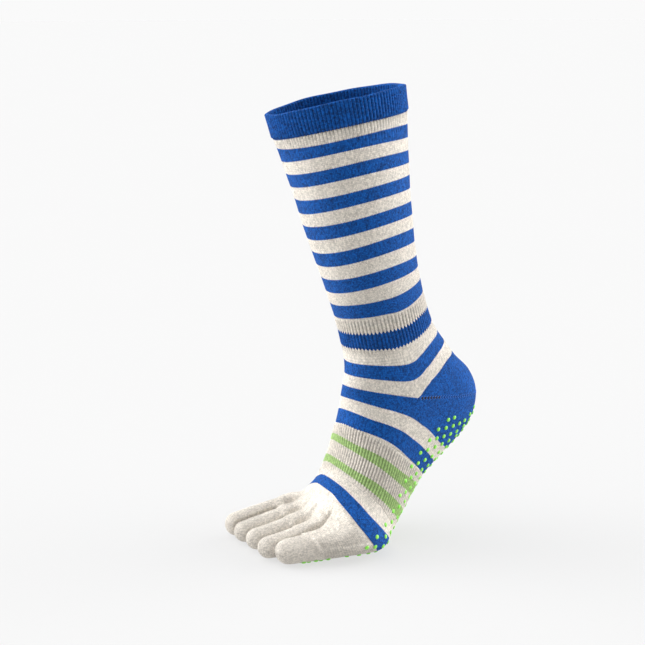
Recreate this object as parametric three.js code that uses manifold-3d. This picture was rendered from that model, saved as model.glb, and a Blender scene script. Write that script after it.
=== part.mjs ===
// A knitted toe sock, mid-calf high, for a right foot, in the shape of a foot raised on its toes.
// Units are millimetres. +X points to the toes, +Y to the big-toe side and +Z up the leg.
// The origin is the middle of the leg opening.

import * as THREE from "three";
import { mergeVertices } from "three/addons/utils/BufferGeometryUtils.js";
import Module from "manifold-3d";

const wasm = await Module();
wasm.setup();

// Sizes of the whole sock
const standHeight = 369; // from the floor under the toes to the middle of the leg opening
const footReach = 210; // length that the x shares follow, heel back to big toe tip
const cuffWidth = 111; // across the leg opening
const ankleWidth = 69; // across the ankle and the heel pocket
const ballWidth = 110; // across the ball of the foot

// Sizes of the knit
const fabricWall = 1.6;
const cuffWall = 2.4;
const cuffHeight = 21.5;
const cuffRoll = 0.9; // rounding of the folded edge at the opening
const cuffRise = 4.6; // how far the cuff's rows climb on the medial side
const cuffRibs = 116;
const ribDepth = 0.5;
const seamGap = 0.3; // clear line between neighbouring zones

// Sizes of the toes
const bigToeWidth = 25;
const smallToeWidth = 21;
const littleToeWidth = 19;
const toeHeight = 22;
const webBulge = 5; // how far the fabric domes forward between the toes

// Facets
const bodyFacets = 48;
const toeFacets = 16;

const cream = { color: 0xe9e2d8, roughness: 0.92, metalness: 0 };
const blue = { color: 0x174f9e, roughness: 0.9, metalness: 0 };

// Cross-sections from the opening down to the webs of the toes.
// x is a share of footReach, z of standHeight and y of ballWidth; depth and half are shares
// of the width named in follows. tilt is the slope in degrees of the front-to-back line,
// lean the same for the side-to-side line. front and back are the powers of the two half
// ovals (2 is an ellipse) and middle is where along the depth the section is widest.
// sweep carries the section forward on the medial side, as a share of the sideways distance.
const sectionColumns = [
  "name", "follows", "x", "z", "y", "tilt", "depth", "half", "front", "back", "middle", "lean", "sweep",
];
const sectionRows = [
  ["opening", cuffWidth, -0.057, 1.000, 0.000, -9.0, 1.009, 0.499, 2.0, 2.0, 0.50, -5, 0],
  ["calf_1", cuffWidth, -0.118, 0.865, 0.000, -8.4, 0.892, 0.438, 2.0, 2.0, 0.50, -5, 0],
  ["calf_2", cuffWidth, -0.168, 0.751, 0.000, -9.4, 0.808, 0.391, 2.0, 2.0, 0.50, -5, 0],
  ["calf_3", cuffWidth, -0.227, 0.633, 0.000, -11.0, 0.730, 0.346, 2.0, 2.0, 0.50, -4, 0],
  ["calf_4", cuffWidth, -0.263, 0.573, 0.000, -12.7, 0.707, 0.328, 2.0, 2.0, 0.50, -3, 0],
  ["shin", cuffWidth, -0.299, 0.512, 0.000, -13.2, 0.709, 0.314, 2.0, 2.0, 0.50, -2, 0],
  ["ankle", ankleWidth, -0.339, 0.456, 0.000, -10.2, 1.247, 0.500, 2.0, 2.0, 0.50, -1, 0],
  ["bend", ankleWidth, -0.387, 0.408, 0.000, -1.7, 1.506, 0.500, 2.0, 2.3, 0.50, 0, 0],
  ["heel_1", ankleWidth, -0.417, 0.376, 0.000, 3.5, 1.784, 0.500, 2.0, 2.4, 0.52, 0, 0],
  ["heel_2", ankleWidth, -0.434, 0.345, -0.009, 9.6, 1.974, 0.500, 2.0, 2.4, 0.53, 0, 0],
  ["heel_3", ankleWidth, -0.428, 0.310, -0.018, 16.9, 1.992, 0.500, 2.0, 2.4, 0.53, 0, 0],
  ["heel_4", ankleWidth, -0.398, 0.280, -0.027, 23.2, 1.864, 0.500, 2.0, 2.4, 0.53, 0, 0],
  ["heel_5", ankleWidth, -0.351, 0.248, -0.036, 29.9, 1.624, 0.500, 2.0, 2.4, 0.53, 0, 0],
  ["arch_1", ballWidth, -0.297, 0.201, -0.055, 37.9, 0.834, 0.323, 2.0, 2.4, 0.52, 0, 0],
  ["arch_2", ballWidth, -0.250, 0.141, -0.073, 44.9, 0.692, 0.355, 2.0, 2.5, 0.50, 0, 0],
  ["arch_3", ballWidth, -0.198, 0.086, -0.091, 49.2, 0.603, 0.400, 2.0, 2.6, 0.48, 0, 0.03],
  ["ball_1", ballWidth, -0.130, 0.053, -0.078, 52.3, 0.535, 0.485, 2.1, 3.2, 0.42, 0, 0.10],
  ["ball_2", ballWidth, -0.062, 0.046, -0.127, 57.3, 0.455, 0.518, 2.2, 3.4, 0.40, 0, 0.20],
  ["webs", ballWidth, 0.026, 0.041, -0.218, 72.0, 0.310, 0.486, 2.3, 3.2, 0.45, 0, 0.30],
];

// Knitted rows that part one zone from the next, as places along the section table:
// at the front of the leg, at the corner of the heel pocket and at the back. corner is the
// angle from the front, in degrees, where the row turns, and turn how sharply it does. rise
// is how much further up the leg the row lies on the medial side.
const rowColumns = ["front", "side", "back", "corner", "turn", "rise"];
const legStep = standHeight * (sectionRows[0][3] - sectionRows[1][3]);
const cuffRow = cuffHeight / legStep;
const rows = named(rowColumns, {
  cuffEnd: [cuffRow, cuffRow, cuffRow, 75, 3, cuffRise / legStep],
  bandStart: [4.75, 4.75, 4.6, 75, 3, 0],
  bandEnd: [5.95, 6.0, 5.75, 75, 3, 0],
  pocketStart: [9.6, 9.5, 6.85, 75, 6, 0],
  pocketEnd: [9.6, 9.5, 11.0, 75, 3.5, 0],
  ribStart: [12.95, 12.9, 12.95, 75, 3, 0],
  ribEnd: [14.85, 14.95, 15.15, 75, 3, 0],
  webs: [18, 18, 18, 75, 3, 0],
});

// Toes. rootX, rootY, tipX and tipY are the ends of the centre line, in shares of footReach
// and ballWidth, and web is the x share of the crotch on the toe's outer side. width is a
// named toe width; the Wide columns are shares of it at the root, the knuckle and the tip,
// and the Tall columns are shares of toeHeight there.
const toeColumns = [
  "name", "rootX", "rootY", "tipX", "tipY", "web", "width",
  "rootWide", "midWide", "tipWide", "rootTall", "midTall", "tipTall",
];
const toeRows = [
  ["big_toe", -0.067, 0.222, 0.187, 0.057, 0.064, bigToeWidth, 1.14, 1.04, 0.90, 1.50, 1.12, 0.93],
  ["second_toe", -0.067, 0.020, 0.214, -0.127, 0.031, smallToeWidth, 1.00, 1.00, 0.88, 1.50, 1.10, 0.80],
  ["third_toe", -0.076, -0.190, 0.198, -0.318, 0.002, smallToeWidth, 1.00, 1.00, 0.88, 1.48, 1.10, 0.80],
  ["fourth_toe", -0.095, -0.365, 0.187, -0.506, -0.036, smallToeWidth, 0.98, 1.00, 0.88, 1.45, 1.12, 0.80],
  ["little_toe", -0.119, -0.508, 0.175, -0.659, -0.050, littleToeWidth, 1.00, 1.06, 1.00, 1.40, 1.22, 0.92],
];
const innerWeb = 0.090; // x share of the crotch line at the medial edge

function named(columns, table) {
  const out = {};
  for (const [key, values] of Object.entries(table)) {
    out[key] = Object.fromEntries(columns.map((column, i) => [column, values[i]]));
  }
  return out;
}

function records(columns, list) {
  return list.map((values) => Object.fromEntries(columns.map((column, i) => [column, values[i]])));
}

const sections = records(sectionColumns, sectionRows).map((row) => ({
  x: row.x * footReach,
  y: row.y * ballWidth,
  z: row.z * standHeight,
  tilt: THREE.MathUtils.degToRad(row.tilt),
  lean: THREE.MathUtils.degToRad(row.lean),
  depth: row.depth * row.follows,
  half: row.half * row.follows,
  front: row.front,
  back: row.back,
  middle: row.middle,
  sweep: row.sweep,
}));

// Smooth curve through the section table, one column at a time.
function sectionAt(place) {
  const last = sections.length - 1;
  const s = Math.min(place, last);
  const i = Math.min(Math.max(Math.floor(s), 0), last - 1);
  const t = s - i;
  const out = {};
  for (const key of Object.keys(sections[0])) {
    const b = sections[i][key];
    const c = sections[i + 1][key];
    const a = i > 0 ? sections[i - 1][key] : 2 * b - c;
    const d = i + 2 <= last ? sections[i + 2][key] : 2 * c - b;
    const linear = c - a;
    const square = 2 * a - 5 * b + 4 * c - d;
    const cube = 3 * b - a - 3 * c + d;
    out[key] = 0.5 * (2 * b + linear * t + square * t * t + cube * t * t * t);
  }
  return out;
}

function power(value, exponent) {
  return Math.sign(value) * Math.abs(value) ** exponent;
}

// Point on the sock at a place along the section table and an angle around it:
// 0 is the front, a quarter turn the medial side. inset moves it into the fabric.
function bodyPoint(place, angle, inset) {
  const row = sectionAt(place);
  const c = Math.cos(angle);
  const s = Math.sin(angle);
  const roundness = c > 0 ? row.front : row.back;
  const along = power(c, 2 / roundness);
  const across = power(s, 2 / roundness);
  const reach = row.depth * (c > 0 ? 1 - row.middle : row.middle) - inset;
  const side = row.half - inset;
  const forward = new THREE.Vector3(Math.cos(row.tilt), 0, Math.sin(row.tilt));
  const normal = new THREE.Vector3(-Math.sin(row.tilt), 0, Math.cos(row.tilt));
  const medial = new THREE.Vector3(row.sweep, Math.cos(row.lean), 0)
    .addScaledVector(normal, -Math.sin(row.lean));
  return new THREE.Vector3(row.x, row.y, row.z)
    .addScaledVector(forward, reach * along)
    .addScaledVector(medial, side * across);
}

// How much of its rise a row has at an angle: 1 on the medial side, least at the outer front.
function riseShare(angle) {
  const once = 0.39 * Math.sin(angle) - 0.18 * Math.cos(angle);
  const twice = 0.17 * Math.sin(2 * angle) - 0.1 * Math.cos(2 * angle);
  return 0.5 + once + twice;
}

// Place of a knitted row at an angle, with the turn at the corner of the heel pocket.
function rowPlace(row, angle) {
  const lift = row.rise * riseShare(angle);
  const fromFront = Math.abs(THREE.MathUtils.radToDeg(Math.atan2(Math.sin(angle), Math.cos(angle))));
  if (fromFront <= row.corner) {
    const share = (1 - Math.cos(Math.PI * fromFront / row.corner)) / 2;
    return row.front + (row.side - row.front) * share - lift;
  }
  const u = (fromFront - row.corner) / (180 - row.corner);
  return row.side + (row.back - row.side) * (1 - (1 - u) ** row.turn) - lift;
}

// The row moved sideways by a distance on the fabric, up the foot where it is positive.
function rowShifted(row, angle, distance) {
  const place = rowPlace(row, angle);
  const small = 0.01;
  const down = bodyPoint(place + small, angle, 0).distanceTo(bodyPoint(place - small, angle, 0)) / (2 * small);
  const round = bodyPoint(place, angle + small, 0).distanceTo(bodyPoint(place, angle - small, 0)) / (2 * small);
  const climb = (rowPlace(row, angle + small) - rowPlace(row, angle - small)) / (2 * small);
  const slope = climb * down / round;
  return place + distance * Math.sqrt(1 + slope * slope) / down;
}

function angles(count, from = 0, to = 2 * Math.PI) {
  return Array.from({ length: count }, (unused, i) => from + (to - from) * i / count);
}

// A closed band from rings of points that all have the same count, each ring joined to the
// next and the last to the first.
function ringLoop(rings) {
  const count = rings[0].length;
  const positions = rings.flat().flatMap((p) => [p.x, p.y, p.z]);
  const index = [];
  for (let i = 0; i < rings.length; i += 1) {
    const next = (i + 1) % rings.length;
    for (let j = 0; j < count; j += 1) {
      const k = (j + 1) % count;
      const a = i * count + j;
      const b = i * count + k;
      const c = next * count + k;
      const d = next * count + j;
      index.push(a, d, b, b, d, c);
    }
  }
  return outward(positions, index);
}

// A closed patch from an outer and an inner grid of points, with a wall on all four sides.
function gridPatch(outer, inner) {
  const tall = outer.length;
  const wide = outer[0].length;
  const positions = [...outer.flat(), ...inner.flat()].flatMap((p) => [p.x, p.y, p.z]);
  const at = (layer, i, j) => layer * tall * wide + i * wide + j;
  const index = [];
  const quad = (a, b, c, d) => index.push(a, d, b, b, d, c);
  for (let i = 0; i < tall - 1; i += 1) {
    for (let j = 0; j < wide - 1; j += 1) {
      quad(at(0, i, j), at(0, i, j + 1), at(0, i + 1, j + 1), at(0, i + 1, j));
      quad(at(1, i, j), at(1, i + 1, j), at(1, i + 1, j + 1), at(1, i, j + 1));
    }
    quad(at(0, i, 0), at(0, i + 1, 0), at(1, i + 1, 0), at(1, i, 0));
    quad(at(0, i + 1, wide - 1), at(0, i, wide - 1), at(1, i, wide - 1), at(1, i + 1, wide - 1));
  }
  for (let j = 0; j < wide - 1; j += 1) {
    quad(at(0, 0, j + 1), at(0, 0, j), at(1, 0, j), at(1, 0, j + 1));
    quad(at(0, tall - 1, j), at(0, tall - 1, j + 1), at(1, tall - 1, j + 1), at(1, tall - 1, j));
  }
  return outward(positions, index);
}

// A closed skin from open rings, with a single point at each end.
function ringSkin(rings, start, end) {
  const count = rings[0].length;
  const positions = [...rings.flat(), start, end].flatMap((p) => [p.x, p.y, p.z]);
  const first = rings.length * count;
  const last = first + 1;
  const index = [];
  for (let j = 0; j < count; j += 1) {
    const k = (j + 1) % count;
    index.push(first, j, k);
    for (let i = 0; i < rings.length - 1; i += 1) {
      const a = i * count + j;
      const b = i * count + k;
      index.push(a, a + count, b, b, a + count, b + count);
    }
    const end0 = (rings.length - 1) * count;
    index.push(last, end0 + k, end0 + j);
  }
  return outward(positions, index);
}

// Geometry whose faces all point out.
function outward(positions, index) {
  let volume = 0;
  const p = (i) => new THREE.Vector3().fromArray(positions, 3 * i);
  for (let i = 0; i < index.length; i += 3) {
    volume += p(index[i]).dot(p(index[i + 1]).cross(p(index[i + 2])));
  }
  const turned = volume > 0 ? index : index.slice().reverse();
  const geometry = new THREE.BufferGeometry();
  geometry.setAttribute("position", new THREE.Float32BufferAttribute(positions, 3));
  geometry.setIndex(turned);
  return geometry;
}

function solid(geometry) {
  const bare = geometry.clone();
  bare.deleteAttribute("normal");
  bare.deleteAttribute("uv");
  const merged = mergeVertices(bare, 1e-4);
  return new wasm.Manifold(new wasm.Mesh({
    numProp: 3,
    vertProperties: Float32Array.from(merged.attributes.position.array),
    triVerts: Uint32Array.from(merged.index.array),
  }));
}

function unsolid(manifold) {
  const mesh = manifold.getMesh();
  const geometry = new THREE.BufferGeometry();
  geometry.setAttribute("position", new THREE.BufferAttribute(mesh.vertProperties, 3));
  geometry.setIndex(new THREE.BufferAttribute(mesh.triVerts, 1));
  return geometry;
}

// A tube of fabric between two knitted rows.
function tube(from, to, steps, wall) {
  const around = angles(bodyFacets);
  const ring = (share, inset) => around.map((angle) => {
    const top = rowShifted(from, angle, seamGap / 2);
    const bottom = rowShifted(to, angle, -seamGap / 2);
    return bodyPoint(top + (bottom - top) * share, angle, inset);
  });
  const shares = Array.from({ length: steps + 1 }, (unused, i) => i / steps);
  const outer = shares.map((share) => ring(share, 0));
  const inner = shares.map((share) => ring(share, wall)).reverse();
  return ringLoop([...outer, ...inner]);
}

// The cuff is a double layer with upright ribs outside and a rounded folded edge on top.
function cuff() {
  const around = angles(2 * cuffRibs);
  const end = (angle) => rowShifted(rows.cuffEnd, angle, -seamGap / 2);
  const rim = (angle) => -rows.cuffEnd.rise * riseShare(angle);
  const fold = (angle) => rim(angle) + cuffRoll / legStep;
  const ribbed = (place) => around.map((angle, i) => {
    const at = place(angle);
    return bodyPoint(at, angle, i % 2 === 0 ? 0 : ribDepth);
  });
  const plain = (place, inset) => around.map((angle) => bodyPoint(place(angle), angle, inset));
  return ringLoop([
    plain(rim, cuffWall * 0.5),
    ribbed(fold),
    ribbed(end),
    plain(end, cuffWall),
    plain(fold, cuffWall),
  ]);
}

// The heel pocket is the patch that the short rows add behind the two corners.
function heelPocket() {
  const steps = 8;
  const inset = 2;
  const corner = THREE.MathUtils.degToRad(rows.pocketStart.corner + inset);
  const count = bodyFacets / 2;
  const around = Array.from({ length: count + 1 }, (unused, i) => (
    corner + (2 * Math.PI - 2 * corner) * i / count));
  const grid = (wall) => Array.from({ length: steps + 1 }, (unused, i) => around.map((angle) => {
    const top = rowShifted(rows.pocketStart, angle, seamGap / 2);
    const bottom = rowShifted(rows.pocketEnd, angle, -seamGap / 2);
    return bodyPoint(top + (bottom - top) * i / steps, angle, wall);
  }));
  return gridPatch(grid(0), grid(fabricWall));
}

// The front of the foot as one skin, from the ribbed band to a dome behind the toes.
function footSkin(inset, extra) {
  const around = angles(bodyFacets);
  const steps = 5;
  const rings = [];
  for (let i = 0; i <= steps; i += 1) {
    rings.push(around.map((angle) => {
      const top = rowShifted(rows.ribEnd, angle, seamGap / 2 - extra);
      return bodyPoint(top + (rows.webs.front - top) * i / steps, angle, inset);
    }));
  }
  const last = rings[steps];
  const middle = new THREE.Vector3();
  for (const p of last) {
    middle.addScaledVector(p, 1 / last.length);
  }
  const bulge = webBulge - inset;
  for (const [scale, ahead] of [[0.86, 0.55], [0.55, 0.9]]) {
    rings.push(last.map((p) => {
      const q = middle.clone().lerp(p, scale);
      q.x += ahead * bulge;
      return q;
    }));
  }
  const start = new THREE.Vector3();
  for (const p of rings[0]) {
    start.addScaledVector(p, 1 / rings[0].length);
  }
  const end = middle.clone();
  end.x += bulge;
  return solid(ringSkin(rings, start, end));
}

const toes = records(toeColumns, toeRows);

// One toe as a closed skin: upright ovals along the centre line and a rounded tip.
function toeSkin(toe, inset) {
  const root = new THREE.Vector3(toe.rootX * footReach, toe.rootY * ballWidth, 0);
  const tip = new THREE.Vector3(toe.tipX * footReach, toe.tipY * ballWidth, 0);
  const forward = tip.clone().sub(root).normalize();
  const side = new THREE.Vector3(-forward.y, forward.x, 0);
  const oval = (centre, wide, tall, lift) => angles(toeFacets).map((angle) => centre.clone()
    .addScaledVector(side, wide * Math.cos(angle))
    .add(new THREE.Vector3(0, 0, lift + tall * Math.sin(angle))));
  const rings = [];
  const blend = (root, middle, tip, t) => (
    root * (1 - t) * (1 - 2 * t) + 4 * middle * t * (1 - t) + tip * t * (2 * t - 1));
  const size = (t) => ({
    wide: toe.width / 2 * blend(toe.rootWide, toe.midWide, toe.tipWide, t),
    tall: toeHeight / 2 * blend(toe.rootTall, toe.midTall, toe.tipTall, t),
  });
  for (const [share, swell] of [[0, 0.75], [0.2, 1], [0.45, 1], [0.72, 1], [1, 1]]) {
    const { wide, tall } = size(share);
    rings.push(oval(root.clone().lerp(tip, share), (wide - inset) * swell, (tall - inset) * swell, tall));
  }
  const { wide, tall } = size(1);
  for (const turn of [30, 58]) {
    const a = THREE.MathUtils.degToRad(turn);
    const centre = tip.clone().addScaledVector(forward, (wide - inset) * Math.sin(a));
    rings.push(oval(centre, (wide - inset) * Math.cos(a), (tall - inset) * Math.cos(a), tall));
  }
  const start = root.clone();
  start.z = size(0).tall;
  const end = tip.clone().addScaledVector(forward, wide - inset);
  end.z = tall;
  return solid(ringSkin(rings, start, end));
}

// Upright block over a plan outline, used to part the toes from the foot.
function block(points) {
  const outline = new THREE.Shape(points.map(([x, y]) => new THREE.Vector2(x, y)));
  const geometry = new THREE.ExtrudeGeometry(outline, { depth: standHeight, bevelEnabled: false });
  geometry.translate(0, 0, -standHeight / 2);
  return solid(geometry);
}

// Corner points of the crotch line and of a far line ahead, from the medial edge outwards.
function partingLines() {
  const far = footReach / 2;
  const axisY = (toe, x) => {
    const share = (x - toe.rootX * footReach) / ((toe.tipX - toe.rootX) * footReach);
    return THREE.MathUtils.lerp(toe.rootY, toe.tipY, share) * ballWidth;
  };
  const lines = [{ x: innerWeb * footReach, near: ballWidth, far: ballWidth, ahead: far }];
  for (let i = 0; i < toes.length; i += 1) {
    const x = toes[i].web * footReach;
    if (i + 1 < toes.length) {
      const between = (at) => {
        const a = toes[i];
        const b = toes[i + 1];
        return (axisY(a, at) * b.width + axisY(b, at) * a.width) / (a.width + b.width);
      };
      lines.push({ x, near: between(x), far: between(far), ahead: far });
    } else {
      lines.push({ x, near: -1.5 * ballWidth, far: -1.5 * ballWidth, ahead: far });
    }
  }
  return lines;
}

function footPieces() {
  const outer = footSkin(0, 0);
  let hollow = footSkin(fabricWall, fabricWall);
  for (const toe of toes) {
    hollow = hollow.add(toeSkin(toe, fabricWall));
  }
  const lines = partingLines();
  const half = seamGap / 2;
  const out = {};
  let whole = outer;
  toes.forEach((toe, i) => {
    const a = lines[i];
    const b = lines[i + 1];
    const region = block([
      [a.x + half, a.near - half],
      [b.x + half, b.near + half],
      [b.ahead, b.far + half],
      [a.ahead, a.far - half],
    ]);
    const skin = toeSkin(toe, 0);
    out[toe.name] = skin.add(outer).intersect(region).subtract(hollow);
    whole = whole.add(skin);
  });
  const back = -footReach;
  const behind = block([
    [back, 2 * ballWidth],
    [back, -2 * ballWidth],
    [lines[toes.length].x - half, -2 * ballWidth],
    ...lines.slice().reverse().map((line) => [line.x - half, line.near]),
    [lines[0].x - half, 2 * ballWidth],
  ]);
  out.forefoot = whole.intersect(behind).subtract(hollow);
  return out;
}

const sock = new THREE.Group();
sock.position.set(-sections[0].x, -sections[0].y, -sections[0].z);

function add(name, geometry, look) {
  geometry.computeVertexNormals();
  const mesh = new THREE.Mesh(geometry, new THREE.MeshStandardMaterial(look));
  mesh.name = name;
  sock.add(mesh);
}

add("cuff", cuff(), blue);
add("leg", tube(rows.cuffEnd, rows.bandStart, 6, fabricWall), cream);
add("ankle_band", tube(rows.bandStart, rows.bandEnd, 2, fabricWall), cream);
add("ankle", tube(rows.bandEnd, rows.pocketStart, 4, fabricWall), cream);
add("heel", heelPocket(), blue);
add("instep", tube(rows.pocketEnd, rows.ribStart, 4, fabricWall), cream);
add("arch_band", tube(rows.ribStart, rows.ribEnd, 3, fabricWall), cream);
for (const [name, manifold] of Object.entries(footPieces())) {
  add(name, unsolid(manifold), cream);
}

export default sock;
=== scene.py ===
import math

import bmesh
import bpy
import numpy as np
from bpy.props import FloatProperty, FloatVectorProperty, IntProperty, PointerProperty
from mathutils import Matrix, Vector
from mathutils.bvhtree import BVHTree
from mathutils.kdtree import KDTree


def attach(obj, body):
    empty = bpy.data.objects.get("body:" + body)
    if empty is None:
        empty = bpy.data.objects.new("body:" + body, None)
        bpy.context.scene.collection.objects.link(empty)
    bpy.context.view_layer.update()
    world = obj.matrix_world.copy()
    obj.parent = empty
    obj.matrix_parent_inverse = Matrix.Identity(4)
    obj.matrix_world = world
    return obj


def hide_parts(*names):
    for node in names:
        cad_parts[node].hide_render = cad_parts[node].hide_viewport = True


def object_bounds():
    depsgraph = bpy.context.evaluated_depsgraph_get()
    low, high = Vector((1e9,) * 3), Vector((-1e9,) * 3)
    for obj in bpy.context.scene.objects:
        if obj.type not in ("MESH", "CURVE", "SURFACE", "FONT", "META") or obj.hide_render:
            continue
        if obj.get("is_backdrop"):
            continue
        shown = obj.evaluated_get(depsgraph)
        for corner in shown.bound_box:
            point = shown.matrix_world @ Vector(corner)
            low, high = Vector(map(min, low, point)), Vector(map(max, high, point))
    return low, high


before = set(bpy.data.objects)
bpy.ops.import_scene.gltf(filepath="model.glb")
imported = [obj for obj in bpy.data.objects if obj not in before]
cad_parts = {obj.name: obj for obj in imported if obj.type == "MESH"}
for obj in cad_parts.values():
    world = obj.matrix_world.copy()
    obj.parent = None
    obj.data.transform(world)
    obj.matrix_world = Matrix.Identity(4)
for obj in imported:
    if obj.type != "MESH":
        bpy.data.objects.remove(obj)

bl_info = {
    "name": "Toe sock",
    "version": (1, 0, 0),
    "blender": (4, 5, 0),
    "location": "3D View > Sidebar > Toe sock",
    "description": "A striped knitted toe sock with a ribbed cuff, a gored heel and grip dots",
    "category": "Add Mesh",
}

CAD_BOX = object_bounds()
MM = 0.001
FLOOR = CAD_BOX[0].z - 1.1 * MM

# Cross-sections from the leg opening down to the webs of the toes. x is a share of the foot
# reach, z of the standing height and y of the ball width. depth and half are shares of the
# width that the first value names. tilt and lean are in degrees. front and back are the powers
# of the two half ovals, middle is where the section is widest, as a share of its depth from the
# back, and sweep carries it forward medially.
SECTION_COLUMNS = ("x", "y", "z", "tilt", "depth", "half", "front", "back", "middle", "lean", "sweep")
SECTIONS = (
    ("cuff", -0.057, 0.000, 1.000, -9.0, 1.009, 0.499, 2.0, 2.0, 0.50, -5, 0),
    ("cuff", -0.118, 0.000, 0.865, -8.4, 0.892, 0.438, 2.0, 2.0, 0.50, -5, 0),
    ("cuff", -0.168, 0.000, 0.751, -9.4, 0.808, 0.391, 2.0, 2.0, 0.50, -5, 0),
    ("cuff", -0.227, 0.000, 0.633, -11.0, 0.730, 0.346, 2.0, 2.0, 0.50, -4, 0),
    ("cuff", -0.263, 0.000, 0.573, -12.7, 0.707, 0.328, 2.0, 2.0, 0.50, -3, 0),
    ("cuff", -0.299, 0.000, 0.512, -13.2, 0.709, 0.314, 2.0, 2.0, 0.50, -2, 0),
    ("ankle", -0.339, 0.000, 0.456, -10.2, 1.247, 0.500, 2.0, 2.0, 0.50, -1, 0),
    ("ankle", -0.387, 0.000, 0.408, -1.7, 1.506, 0.500, 2.0, 2.3, 0.50, 0, 0),
    ("ankle", -0.417, 0.000, 0.376, 3.5, 1.784, 0.500, 2.0, 2.4, 0.52, 0, 0),
    ("ankle", -0.434, -0.009, 0.345, 9.6, 1.974, 0.500, 2.0, 2.4, 0.53, 0, 0),
    ("ankle", -0.428, -0.018, 0.310, 16.9, 1.992, 0.500, 2.0, 2.4, 0.53, 0, 0),
    ("ankle", -0.398, -0.027, 0.280, 23.2, 1.864, 0.500, 2.0, 2.4, 0.53, 0, 0),
    ("ankle", -0.351, -0.036, 0.248, 29.9, 1.624, 0.500, 2.0, 2.4, 0.53, 0, 0),
    ("ball", -0.297, -0.055, 0.201, 37.9, 0.834, 0.323, 2.0, 2.4, 0.52, 0, 0),
    ("ball", -0.250, -0.073, 0.141, 44.9, 0.692, 0.355, 2.0, 2.5, 0.50, 0, 0),
    ("ball", -0.198, -0.091, 0.086, 49.2, 0.603, 0.400, 2.0, 2.6, 0.48, 0, 0.03),
    ("ball", -0.130, -0.078, 0.053, 52.3, 0.535, 0.485, 2.1, 3.2, 0.42, 0, 0.10),
    ("ball", -0.062, -0.127, 0.046, 57.3, 0.455, 0.518, 2.2, 3.4, 0.40, 0, 0.20),
    ("ball", 0.026, -0.218, 0.041, 72.0, 0.310, 0.486, 2.3, 3.2, 0.45, 0, 0.30),
)

# Rows where one knitted zone ends, as places along the section table.
# They bend at the corners of the heel, which are CORNER degrees from the front. turn is how
# quickly the row turns behind a corner.
CORNER = 75
ROW_COLUMNS = ("front", "side", "back", "turn")
ROWS = {
    "band_end": (5.95, 6.0, 5.75, 3),
    "pocket_start": (9.6, 9.5, 6.85, 6),
    "pocket_end": (9.6, 9.5, 11.0, 3.5),
    "rib_start": (12.95, 12.9, 12.95, 3),
    "rib_end": (14.85, 14.95, 15.15, 3),
}
# The gore line of the heel, from a corner to the back.
GORE_ANGLES = (CORNER, 94, 124, 180)
GORE_PLACES = (9.5, 9.32, 9.18, 9.10)

# Blue stripes of the upper leg. For the top and the bottom edge of each: its mean place, how
# much lower it is in front, how far it is raised on the medial side, and its twist.
RINGS = (
    ((0.563, -0.012, 0.074, 0.000), (0.754, 0.002, 0.070, -0.022)),
    ((0.971, -0.001, 0.080, -0.014), (1.195, 0.013, 0.076, -0.016)),
    ((1.440, 0.016, 0.079, -0.004), (1.704, 0.021, 0.083, -0.013)),
    ((1.964, 0.010, 0.088, 0.001), (2.205, 0.014, 0.080, -0.004)),
    ((2.450, -0.002, 0.097, 0.007), (2.688, 0.006, 0.086, 0.001)),
    ((2.980, -0.009, 0.099, 0.003), (3.325, 0.058, 0.076, -0.014)),
)

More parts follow.
